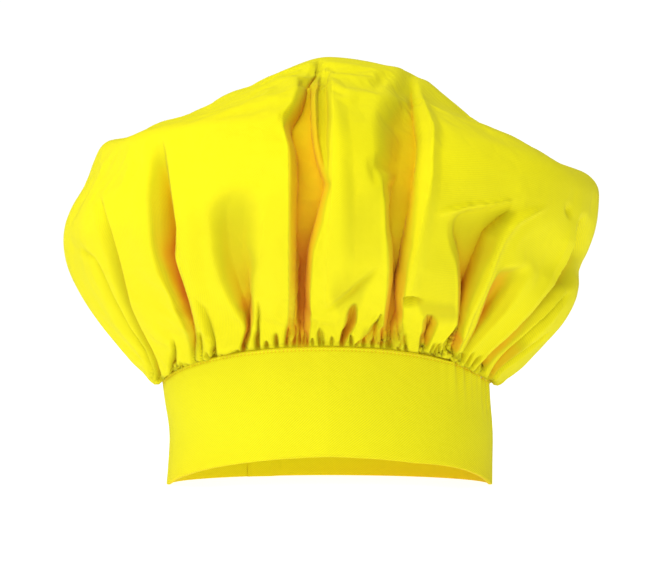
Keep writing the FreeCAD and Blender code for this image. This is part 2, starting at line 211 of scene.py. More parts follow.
def end_caps(count, size, start, flip_first):
    """Quads over both ends of a tube: point k of a section faces point size - 1 + start - k."""
    k = np.arange(start, size // 2 - 1)
    facing = size - 1 + start - k
    first = np.stack([k, k + 1, facing - 1, facing], 1)
    last = first + (count - 1) * size
    return np.concatenate([first[:, ::-1], last] if flip_first else [first, last[:, ::-1]])


def copies(faces, count, size):
    """The faces of one small piece, repeated for count pieces of size vertices."""
    shifted = faces[None] + (np.arange(count) * size)[:, None, None]
    return shifted.reshape(-1, faces.shape[1])


def uv_pairs(u, v):
    return np.stack(np.broadcast_arrays(u * MM, v * MM), 2).reshape(-1, 2)


def fix_normals(ob):
    bm = bmesh.new()
    bm.from_mesh(ob.data)
    bmesh.ops.recalc_face_normals(bm, faces=bm.faces)
    bm.to_mesh(ob.data)
    bm.free()
    return ob


def wave_noise(u, v, seed, count=10):
    """Smooth noise of about unit size from a few seeded plane waves."""
    random = np.random.default_rng(seed)
    total = np.zeros(np.broadcast(u, v).shape)
    for _ in range(count):
        angle = random.uniform(0, 2 * math.pi)
        rate = random.uniform(0.6, 1.6)
        phase = random.uniform(0, 2 * math.pi)
        total = total + np.sin((np.cos(angle) * u + np.sin(angle) * v) * rate + phase)
    return total / math.sqrt(count / 2)


def soften_around(a):
    return (np.roll(a, 1, 0) + np.roll(a, -1, 0) + 2 * a) / 4


def soften_down(a):
    pad = np.concatenate([a[:, :1], a, a[:, -1:]], 1)
    return (pad[:, :-2] + pad[:, 2:] + 2 * a) / 4


# ------------------------------------------------------------------ materials
class Net:
    """Short calls for building a node tree."""

    def __init__(self, tree):
        self.tree = tree

    def put(self, socket, value):
        if isinstance(value, bpy.types.NodeSocket):
            self.tree.links.new(value, socket)
        else:
            socket.default_value = value

    def node(self, kind, inputs=None, **settings):
        node = self.tree.nodes.new("ShaderNode" + kind)
        for key, value in settings.items():
            setattr(node, key, value)
        for key, value in (inputs or {}).items():
            self.put(node.inputs[key], value)
        return node

    def math(self, operation, *values, clamp=False):
        inputs = dict(enumerate(values))
        return self.node("Math", inputs, operation=operation, use_clamp=clamp).outputs[0]

    def add(self, a, b, clamp=False):
        return self.math("ADD", a, b, clamp=clamp)

    def sub(self, a, b, clamp=False):
        return self.math("SUBTRACT", a, b, clamp=clamp)

    def mul(self, a, b):
        return self.math("MULTIPLY", a, b)

    def wave(self, phase):
        """Sine that runs from 0 to 1."""
        return self.add(self.mul(self.math("SINE", phase), 0.5), 0.5)

    def tint(self, colour, shade):
        """Colour multiplied by a grey."""
        grey = self.node("CombineColor", {0: shade, 1: shade, 2: shade}).outputs[0]
        inputs = {0: 1.0, 6: colour, 7: grey}
        return self.node("Mix", inputs, data_type="RGBA", blend_type="MULTIPLY").outputs[2]

    def noise(self, vector, scale, detail=3.0, rough=0.55):
        inputs = {"Vector": vector, "Scale": scale, "Detail": detail, "Roughness": rough}
        return self.node("TexNoise", inputs).outputs["Fac"]

    def ramp(self, factor, stops):
        node = self.node("ValToRGB", {0: factor})
        elements = node.color_ramp.elements
        while len(elements) < len(stops):
            elements.new(0.5)
        for element, (position, colour) in zip(elements, stops):
            element.position = position
            element.color = colour
        return node.outputs[0]

    def bump(self, height, strength, distance_mm, **more):
        inputs = {"Strength": strength, "Distance": distance_mm * MM, "Height": height, **more}
        return self.node("Bump", inputs).outputs[0]

    def weave(self):
        """The weave map, in metres of cloth, and its two parts."""
        uv = self.node("UVMap", uv_map="weave").outputs[0]
        parts = self.node("SeparateXYZ", {0: uv}).outputs
        return uv, parts[0], parts[1]

    def object_place(self):
        return self.node("TexCoord").outputs["Object"]

    def principled(self, inputs):
        return self.node("BsdfPrincipled", inputs).outputs[0]


def new_material(name):
    material = bpy.data.materials.new(name)
    material.use_nodes = True
    material.node_tree.nodes.clear()
    return material, Net(material.node_tree)


TWILL_PITCH, THREAD_PITCH = 1.15, 0.42
THREAD_WAVER = 0.0016  # metres
HIDDEN_REACH = 0.040  # metres, how far off cloth still shuts out light
HIDDEN_SHARE = 0.36  # how much shut out light moves the colour towards the fold colours
TRANSLUCENCY = 0.12


def twill(name, stops, turn, weave_bump, slub, contrast):
    """Twill cloth, its ribs turned by some degrees. slub is the unevenness of the colour.

    Its shade attribute is 0 on open cloth and 1 deep in a fold; with ambient occlusion it moves the
    colour along the stops, so shade in the folds is painted into the colour.
    """
    material, g = new_material(name)
    uv, u, v = g.weave()
    place = g.object_place()
    waver = g.mul(g.sub(g.noise(uv, scale=60.0, detail=2.0), 0.5), THREAD_WAVER)
    rate = 2 * math.pi / (TWILL_PITCH * MM)
    rate_u, rate_v = math.cos(math.radians(turn)) * rate, math.sin(math.radians(turn)) * rate
    rib = g.wave(g.add(g.add(g.mul(u, rate_u), g.mul(v, rate_v)), g.mul(waver, rate)))
    thread_rate = 2 * math.pi / (THREAD_PITCH * MM)
    warp = g.wave(g.mul(g.add(u, waver), thread_rate))
    weft = g.wave(g.mul(g.add(v, waver), thread_rate))
    height = g.add(g.mul(rib, 0.6), g.mul(g.mul(warp, weft), 0.4))

    # painted shade: the shade attribute and ambient occlusion move the colour to darker olive, gold
    # and amber
    fold = g.node("Attribute", attribute_name="fold").outputs["Fac"]
    open_air = g.node("AmbientOcclusion", {"Distance": HIDDEN_REACH}, samples=6).outputs["AO"]
    painted_shade_level = g.add(g.mul(g.sub(1.0, open_air), HIDDEN_SHARE), fold, clamp=True)
    colour = g.ramp(painted_shade_level, stops)
    broad = g.noise(place, scale=22.0)
    fine = g.noise(uv, scale=900.0, detail=2.0, rough=0.6)
    # the weave shows on open cloth and is lost down in the folds
    plain = g.sub(1.0, g.mul(fold, 2.4), clamp=True)
    uneven = g.mul(g.add(g.mul(broad, 0.6), g.mul(fine, 0.4)), slub * 2)
    shade = g.add(1.0 - slub, uneven)
    woven = g.mul(plain, g.mul(g.sub(height, 0.5), contrast))
    colour = g.tint(colour, g.mul(shade, g.add(0.98, woven)))

    weave_normal = g.bump(height, strength=g.mul(plain, 0.55), distance_mm=weave_bump)
    rumple = g.noise(uv, scale=160.0, rough=0.6)
    normal = g.bump(rumple, strength=0.5, distance_mm=0.5, Normal=weave_normal)
    surface = g.principled({
        "Base Color": colour, "Normal": normal, "Specular IOR Level": 0.34,
        "Roughness": g.add(0.72, g.mul(fine, 0.18)),
        "Sheen Weight": 0.08, "Sheen Roughness": 0.45, "Sheen Tint": (1.0, 0.95, 0.30, 1.0)})
    through = g.node("BsdfTranslucent", {"Color": colour, "Normal": normal}).outputs[0]
    mixed = g.node("MixShader", {0: TRANSLUCENCY, 1: surface, 2: through}).outputs[0]
    g.node("OutputMaterial", {0: mixed})
    return material


def fibre(name, colour, scale, bump, rough=0.85, spread=0.12):
    """Plain fibrous cloth, thread or felt, in object space. spread is how far it darkens."""
    material, g = new_material(name)
    place = g.node("Mapping", {0: g.object_place()}).outputs[0]
    fine = g.noise(place, scale, detail=4.0, rough=0.65)
    broad = g.noise(place, scale * 0.08, detail=2.0)
    shade = g.add(1.0 - spread, g.mul(g.add(fine, broad), spread))
    surface = g.principled({
        "Base Color": g.tint(colour, shade), "Roughness": rough, "Specular IOR Level": 0.2,
        "Sheen Weight": 0.2, "Normal": g.bump(fine, strength=0.8, distance_mm=bump)})
    g.node("OutputMaterial", {0: surface})
    return material


def ribbon():
    """Blank satin ribbon: fine ribs across, a little shine along."""
    material, g = new_material("label_ribbon")
    uv, _, v = g.weave()
    rib = g.wave(g.mul(v, 2 * math.pi / (0.35 * MM)))
    shade = g.add(0.80, g.mul(g.add(rib, g.noise(uv, scale=700.0)), 0.06))
    surface = g.principled({
        "Base Color": g.tint((0.95, 0.945, 0.92, 1.0), shade), "Roughness": 0.42,
        "Anisotropic": 0.5, "Sheen Weight": 0.2,
        "Normal": g.bump(rib, strength=0.4, distance_mm=0.05)})
    g.node("OutputMaterial", {0: surface})
    return material


SHADE_AMBER = (0.89, 0.345, 0.016, 1.0)
# Painted shade colours, from open cloth (0) to deep in a fold (1): darker olive, gold and amber
# stand in for the shade
CROWN_SHADE_STOPS = [(0.0, (1.0, 0.925, 0.003, 1.0)), (0.25, (0.77, 0.705, 0.002, 1.0)),
               (0.58, (0.90, 0.575, 0.004, 1.0)), (0.92, SHADE_AMBER)]
BAND_SHADE_STOPS = [(0.0, (1.0, 0.945, 0.004, 1.0)), (0.24, (1.0, 0.87, 0.002, 1.0)),
              (0.58, (0.95, 0.64, 0.004, 1.0)), (0.92, SHADE_AMBER)]
crown_mat = twill("crown_twill", CROWN_SHADE_STOPS, turn=147.0, weave_bump=0.11, slub=0.05,
                  contrast=0.15)
band_mat = twill("band_twill", BAND_SHADE_STOPS, turn=52.0, weave_bump=0.16, slub=0.04, contrast=0.30)
thread_mat = fibre("thread", (0.93, 0.74, 0.02, 1.0), 1500.0, bump=0.06, rough=0.55, spread=0.16)
interfacing_mat = fibre("interfacing", (0.82, 0.80, 0.72, 1.0), 500.0, bump=0.15)
hook_mat = fibre("hook_tape", (0.90, 0.72, 0.03, 1.0), 900.0, bump=0.10, rough=0.45)
loop_mat = fibre("loop_tape", (0.95, 0.80, 0.05, 1.0), 1100.0, bump=0.35, rough=0.9, spread=0.2)
label_mat = ribbon()

# ------------------------------------------------------------------ crown: tables
# Outlines from band to top: distance from the middle, height. Left is -X, right +X.
LEFT = table("""114.5 66; 125.5 76; 134.5 87.5; 143 98.5; 151.5 109; 159 119.5; 165.5 130; 171 141;
    174 152; 175 163; 173 175; 168 187; 161 201; 155 215; 149.8 225.3; 136.5 229.5; 119.5 235.2;
    102 240.2; 85 247; 67 257; 48 267; 30 275; 13 281.5; 5 283.4""")
RIGHT = table("""110.5 64.6; 121.5 75; 133.2 86; 143.8 96; 152.5 106; 159 116.5; 162.8 127;
    162.6 138; 166.3 149.5; 172 161.5; 176 173.5; 177.5 186; 178.5 195; 173.5 203; 163.5 209;
    150.5 215.5; 135.5 222.5; 118.5 229; 102 237; 87.5 248; 71 263.2; 51 275.6; 22 281.5; 5 283.4""")
FRONT = table("""78.5 97.5; 84 104; 91.5 111.5; 100.5 119.5; 110 128; 119 137.5; 127 148;
    133.5 159; 138 170; 141 181; 141.5 192; 139.5 203; 135.5 213.5; 129 223; 120.5 232; 110.5 240;
    99.5 247; 87.5 254; 74.5 260.5; 61 266.5; 46.5 272.5; 31 277.5; 15 281.5; 5 283.4""")
BACK = table("""87 71.5; 96 78; 106.5 86.5; 117.5 96.5; 128 107.5; 137.5 119.5; 145.5 132;
    151.5 145; 155.5 158; 157.5 171; 157 184; 154 196.5; 148.5 208; 140.5 218.5; 130.5 228;
    119 236.5; 106.5 244; 93 251.5; 79 258.5; 64 265; 48.5 271.5; 32 277; 15.5 281.5; 5 283.4""")
# Where the crown meets the band: inward distance, height above the band's top edge
COLLAR = ((-1.2, 2.2), (0.2, 1.0), (1.0, -0.6), (1.35, -3.0), (1.4, -6.0), (1.4, -9.0))
SEAM_STATION = len(LEFT) + 2  # the collar station that counts as the seam

# Folds of the front as seen by the camera, from the top down: height, left edge, right edge,
# depth, softness to the left, softness to the right. A negative depth is a ridge.
FOLD_TEXT = """
valley_left: 226.4 -110.2 -108.9 0 5.3 4; 215.2 -109.9 -107.6 4 8 3.3;
201.9 -108.2 -105.9 8 11.3 3.3; 185.3 -105.9 -103.6 11 12.6 2.7; 170 -104.2 -101.6 13 13.3 2.3;
158.7 -104.9 -102.3 14 12 2.3; 150.8 -104.9 -102.6 13 10.6 2.3; 140.8 -102.9 -99.3 13 10 2.1;
132.5 -100.9 -96.3 13 8 2; 120.2 -96.3 -92.6 13 7.3 2; 108.3 -92.3 -89.6 12 6.6 2;
99.6 -90 -88.3 10 4.6 2; 89 -91 -89.3 7 3.3 1.7; 78.4 -89.3 -88.3 5 2.7 1.7

valley_left_foot: 102.3 -86.3 -84.3 0 2 2; 95.6 -87 -84.3 4 2 2.7; 87.7 -85.7 -83.7 5 2 2.7;
81 -85 -83.7 3 2 2

valley_middle: 284.2 -6 -4.6 0 2.7 2.7; 277.6 -10 -5 3 4 2.7; 267.6 -17.3 -9 6 3.3 2.7;
258.3 -20.3 -9.5 8 2.7 2.7; 253 -21.6 -9.4 9 2.7 2.7; 246.4 -25.9 -9.3 10 2.7 2.7;
242.4 -28.6 -9 10 2.3 2.7; 234.4 -29.2 -8.6 11 2 2.7; 224.5 -25.6 -7.3 12 1.7 3;
216.5 -24.9 -5.6 12 1 3; 208.5 -24.9 -3.3 12 0.9 3.3; 200.6 -24.9 -0.7 12 0.9 3.3;
188.6 -24.9 -2.7 12 0.9 3.3; 174.7 -24.9 -6 13 0.9 3.3; 154.7 -24.9 -11.6 15 0.9 2.7;
136.8 -24.9 -13.3 17 0.9 2.3; 117.6 -24.9 -13.6 17 1 2; 105.6 -26.2 -13.9 14 1.6 2;
97 -27.6 -14.3 10 2 2; 90.3 -28.2 -14.9 6 1.7 1.7

valley_right: 276.2 53.1 55.1 0 6.6 2; 272.3 52.5 56.1 0.6 10.6 2.3; 261.6 50.5 58.4 3.8 15.9 2.7;
245 49.1 61.8 9 21.2 2.7; 234.4 49.8 63.7 11 22.6 2.7; 221.8 49.1 63.4 12 21.2 2.7;
211.8 47.8 62.4 12 18.6 2.7; 204.5 45.8 61.4 12.5 12 2.7; 195.2 41.2 60.1 13 6 2.7;
182 38.8 58.1 13.5 3 2.7; 168.7 38.2 55.4 11 2 2.7; 155.4 39.8 52.5 10.5 1.7 2.4;
144.8 40.4 50.8 10.5 1.6 2.3; 132.5 40.2 48.1 11 1.6 2.2; 124.9 39.2 47.1 11 1.6 2.1;
118.9 38.2 47.5 11 1.6 2.1; 114.2 37.5 47.8 11 1.6 2.1; 105.6 36.2 48.5 10.5 2 2;
97 35.5 49.1 10 2 2; 91.7 35.2 49.5 6 1.7 1.7

valley_c_foot: 114.2 33.9 35.9 0 2 2; 110.2 32.5 35.2 4 1.7 2; 104.9 28.9 34.9 6 1.7 2;
99.6 24.9 34.5 7 1.7 2; 95.6 19.3 34.5 6 1.7 2; 91.7 16.6 34.5 4 1.3 2

valley_d_foot: 114.9 63.7 69.7 0 2 2; 110.2 62.4 71 4 1.5 2; 103.6 62.2 70.7 7 1.3 1.7;
97 62.1 67.7 8 1.3 1.7; 90.3 62.2 65.1 6 1.3 1.7

valley_d_side: 107.6 84.3 85.3 0 1.3 2; 103.6 82.7 85 4 1.5 2; 98.3 78.7 84.3 7 1.5 2;
92.3 75 83.7 7 1.5 2; 87 74.2 81.7 5 1.3 2

valley_far_right: 187.9 101.6 123.5 0 9.3 4.6; 180.6 89.6 124.8 4 9.3 4; 174 86.7 118.9 6 9.3 4;
164 86.1 110.2 8 8.6 3.3; 154.7 85.8 106.6 9 6 3; 145.4 85.8 102.6 10 2.7 2.7;
136.8 85.8 98.9 11 2 2.4; 128.8 85.8 95.3 11.5 2 2.2; 122.2 85.9 92 11.5 2 2.2;
114.2 86.1 88.6 11.5 2 2; 105.6 85.8 87.3 11 2 2; 97 83.8 86.3 8 2 2; 90.3 82.3 84.3 6 1.7 1.7;
85 81.3 83 4 1.7 1.7

valley_low_right: 144.8 116.2 128.2 0 2.7 10.6; 138.1 111.6 124.2 5 2 10.6;
131.5 107.6 120.2 7.5 1.6 10.6; 123.5 104.6 116.2 9 1.5 10; 114.2 101.5 110.9 10 1.3 8.6;
106.9 98.9 105.6 9.5 1.3 7.3; 99 95.5 100.9 8.5 1.3 5.3; 91 91.6 95 8 1.3 4;
83.7 87.3 89.6 5 1.5 2.7

valley_edge_right: 179.3 166 170.6 0 2.3 4.6; 169.3 165 169.3 6 2.1 5.3; 160 162 166.7 9 2 5.3;
150.8 158.7 164.7 12 2 5.3; 141.5 155.4 161.4 14 2 5.3; 132.5 151.7 158 14 2 5.3;
122.2 143.4 150.7 14 2 6; 110.2 132.1 139.4 13 2 5.3; 100.3 122.5 128.8 12 2 4.6;
90.3 112.5 118.2 10 2 4; 82.4 105.6 109.6 8 2 3.3; 75.1 99.6 102.9 5 1.7 2.7

valley_g1: 128.2 159.4 160.7 0 2.7 2; 120.2 154 155.7 5 3.3 1.6; 110.2 145.4 147.4 8 3.3 1.6;
99 134.1 136.1 9 3.3 1.6; 87.7 122.2 124.2 8.5 2.7 1.6; 77.7 111.6 113.5 6 2 1.7;
71.1 105.6 106.9 4 1.7 1.7

valley_g2: 102.3 144.8 146.1 0 2 2; 94.3 136.1 137.8 5.5 2.7 1.5; 84.4 124.2 125.8 7 2.7 1.5;
75.1 113.5 114.9 6.5 2.3 1.5; 68.4 106.9 108.2 4 1.7 1.7

crease_left: 191.3 -152.1 -150.7 0 5.3 2.7; 184 -150.1 -149.1 3 6 2.7;
170 -146.4 -145.4 5 6.6 2.7; 155.4 -143.1 -142.1 6 6.6 2.7; 136.8 -138.4 -137.4 6.5 6.6 2.3;
117.6 -133.1 -132.1 6.5 6 2.1; 95.6 -124.2 -123.2 6 5.3 2; 71.7 -112.5 -111.6 5 3.3 1.7

crease_far_left: 157.4 -170.6 -165.3 0 4 5.3; 150.8 -157.4 -155.7 3 5.3 2.7;
138.8 -152.1 -150.7 4.5 5.3 2.7; 124.9 -146.1 -144.8 5 5.3 2.3; 105.6 -136.1 -134.8 5 5.3 2.1;
87.7 -124.8 -123.5 5 4 2; 73.1 -117.5 -116.5 4 2.7 1.7

crease_foot: 95.6 -104.6 -103.6 0 2 2; 89 -103.9 -102.9 5 1.7 1.7; 79.7 -103.5 -102.5 6 1.6 1.6;
69.7 -103.3 -102.3 5 1.5 1.5

dent_b: 196.6 -56.4 -52.5 0 9.3 9.3; 189.3 -65.7 -55.1 2.5 9.3 12; 180.6 -69.7 -56.4 5 9.3 14.6;
169.3 -70.4 -57.8 7 8.6 15.9; 155.4 -69.1 -57.1 8 8.6 13.3; 138.8 -65.7 -53.8 9 7.3 6.6;
122.2 -61.1 -51.1 9 6 2.7; 112.9 -57.8 -52.1 10 4.6 2.3; 104.9 -55.1 -52.8 10 3.3 2.1;
98.3 -54.8 -53.1 9 2.7 1.9; 91.7 -56.8 -55.1 7 2 1.6; 84.4 -59.4 -58.1 5 1.7 1.5

crease_b_sub: 124.9 -47.1 -46.1 0 1.7 2.7; 114.2 -47.1 -46.1 3 1.7 2.4;
103.6 -47.5 -46.5 5 1.6 2; 94.3 -47.7 -46.7 6 1.5 1.7; 86.3 -47.1 -46.2 5 1.5 1.6

crease_b_soft: 128.8 -88.3 -86.3 0 3.3 6; 118.9 -84.3 -82.3 3 4 5.3; 105.6 -80.3 -78.4 4 4 4;
92.3 -77 -75.7 5 2.7 2.7; 82.4 -75.4 -74.4 5 1.7 1.7

ridge_v2: 143.4 -24.6 -19.9 0 1.3 1.3; 132.8 -24.6 -20.3 -6 1.2 1.2;
122.2 -24.6 -20.4 -10 1.2 1.2; 108.9 -25.4 -20.6 -10 1.2 1.2; 99 -26.6 -20.9 -6 1.2 1.2;
91 -27.2 -21.2 -3 1.2 1.2

ridge_v3: 111.6 46.5 48.5 0 1.3 1.3; 106.3 45.2 48.8 -5 1.3 1.3; 100.3 43.2 49.1 -7 1.3 1.3;
92.3 41.8 49.5 -4 1.3 1.3

step_v2: 280.2 -5 -1 0 1.7 1.1; 268.3 -8.6 0.3 4 1.7 1.1; 248.4 -8.6 0.7 6 1.7 1.1;
228.4 -8 0.4 6 1.7 1.1; 215.2 -5.3 0 5 1.7 1.2; 201.9 -2 -0.7 0 1.3 1.3

fold_c_low: 147.4 32.5 35.2 0 5.3 4; 140.8 27.2 30.5 1.6 6.6 4.6; 132.2 17.3 21.2 2.6 6.6 4.6;
124.9 8.6 13.3 2.4 6 4.6; 118.9 0 4.6 1.2 5.3 4; 114.2 -6 -2 0 4 4

notch_c: 122.2 15.3 18.9 0 2.7 2; 116.2 13.9 18.3 5 3.3 1.7; 110.9 12.9 17.8 8 3.3 1.6;
105.6 11.6 16.7 9 2.7 1.6; 100.3 9.2 13.9 9 2 1.6; 95 7.6 11.3 7 1.7 1.6; 91 7.2 9.3 5 1.5 1.5

kink_d: 126.2 48.5 55.1 0 1.7 4; 122.9 48.5 58.4 8.5 1.7 6; 118.2 49.1 55.1 0 1.7 5.3

dimple_shoulder: 186.6 156 160 0 2.7 2.7; 181.3 157 160.7 3.2 2.7 2.7; 176 158 160.7 0 2.7 2.7

ridge_c: 273.6 1.3 5.3 0 1.7 6.6; 247 1.3 5.3 -1.6 1.2 8; 221.8 1.3 6.6 -3 1.3 9.3;
188.6 0 8.6 -3 3.3 9.3; 155.4 -3.3 8.6 -3 4 9.3; 125.5 -4.6 7.3 -1.5 4 8; 115.6 -2 6 0 3.3 5.3

ridge_d: 267 58.4 61.1 0 2 4.6; 247 62.4 65.7 -2.2 1.7 6; 234.4 66.4 69.7 -3.5 1.7 6;
204.5 64.4 68.4 -3.5 1.7 6; 182 60.4 65.7 -3.5 1.7 6.6; 155.4 54.4 60.4 -3 1.7 6.6;
132.2 48.5 56.4 -2 1.7 6; 122.2 48.5 55.1 0 1.7 5.3

ridge_diag: 189.3 116.9 129.5 0 6.6 4; 185.9 93.6 113.5 -3 8 4; 182.6 77.7 93.6 -3 6.6 5.3;
178 71 79 0 5.3 5.3

ridge_e: 184 138.8 145.4 0 5.3 4.6; 180 129.5 137.4 -3 5.3 5.3; 172.7 116.9 124.2 -4 4 6;
162 110.6 116.2 -4 2.3 6; 151.4 106.6 111.6 -4 2 5.3; 140.8 102.9 108.2 -3.5 2 5.3;
128.8 97.3 102.9 -3.5 2 4.6; 115.6 91 96.3 -3 1.7 4; 102.3 87 91.6 -2.5 1.6 3.3;
87.7 83.3 86.3 -1.5 1.5 2.7; 83.7 82.3 84.3 0 1.3 2

ridge_f: 176.6 158.7 164.7 0 5.3 1.7; 162 154.7 162 -3 6 1.7; 147.4 150.1 156.7 -3 6 1.7;
132.2 142.8 150.1 -3 6 1.7; 114.2 128.2 134.8 -3 6 1.7; 95.6 110.9 116.2 -2.5 5.3 1.7;
81 98.9 102.9 -1.5 4 1.7; 77 96.9 100.3 0 2.7 1.7

ridge_b_left: 195.2 -96.3 -89.6 0 4 9.3; 175.3 -98.3 -91 -2 2.7 9.3; 148.8 -98.9 -91 -2.5 2.3 9.3;
122.2 -91 -83 -2.5 2 6.6; 102.3 -85 -80.3 -1.5 2 4; 92.3 -83.7 -80.3 0 2 2.7
"""
FOLDS = {name.strip(): table(rows)
         for name, rows in (part.split(":") for part in FOLD_TEXT.split("\n\n"))}
RIM_VALLEYS = ("valley_edge_right", "valley_g1", "valley_g2")  # these run on round the right side
# The main folds that part the cloth of the front into lobes
LOBE_EDGES = ("crease_left", "valley_left", "valley_middle", "valley_right", "valley_far_right",
              "valley_edge_right")

# Narrow pleats of the front: x and height at the foot, the same at the top, depth
FRONT_PLEATS = table("""-112.5 70.4 -116.9 81 4; -103 70.4 -104.2 89 4; -98.6 71.7 -100.9 81 3;
    -95.9 73.4 -98.9 82.4 3; -93.3 74.4 -94.6 81.7 2.5; -80 79 -81.3 90.3 2.5;
    -75.2 81.7 -77.4 92.3 4; -71 83.4 -71.4 88.3 2; -63.1 85 -59.8 91 2.5;
    -58.8 84.4 -54.4 102.3 4; -47.3 87.3 -47.8 103.6 5; -41.8 88.3 -41.6 97 3.5;
    -34.7 89.3 -35.1 102.3 5; -28.9 90.7 -27.2 110.2 5; -23.4 91.3 -22.7 104.9 5.5;
    -19.5 91.5 -19.5 102.3 4.5; -17.3 91.7 -16.3 97 3; -14.5 92 -14.9 102.3 4.5;
    -11 92.3 -11 98.3 2.5; -6.2 92.8 -6.5 106.3 4; -4 93 -4.6 104.9 2.5; 1.6 93 1.7 99.6 2.5;
    8.3 93.1 10 104.9 5; 14.7 93.1 14.6 100.3 4; 18.6 93.3 21.2 96.6 2.5; 23 93.5 23.5 98.3 4;
    29.1 93.4 31.2 107.6 4.5; 34.9 93.1 35.3 105.6 5; 39 92.7 38.9 97.6 3; 40.8 92.3 42.6 102.3 4;
    46.7 91.3 48.5 96.3 3.5; 50.9 90.8 50.1 101.6 3; 61 89.7 61.8 102.3 5; 63.3 89.3 67.1 98.3 4;
    68 88.7 71 95 2.5; 70.8 88.1 74.4 95 4; 73.2 87.3 74.4 93 4; 75.9 86 76.9 89.7 3.5;
    79.8 84.9 78.7 89 4.5; 83.4 84 82.3 93 4; 86 82.7 87.3 87.7 3; 88.6 81 91.6 86.3 3;
    91.8 79.5 97.6 87.7 3.5; 95.2 78.1 102.9 85.7 3.5; 98.3 75.7 106.2 83.7 3.5;
    101.4 73.1 108.6 81.7 3.5; 104.6 69.7 111.6 77 3.5""")

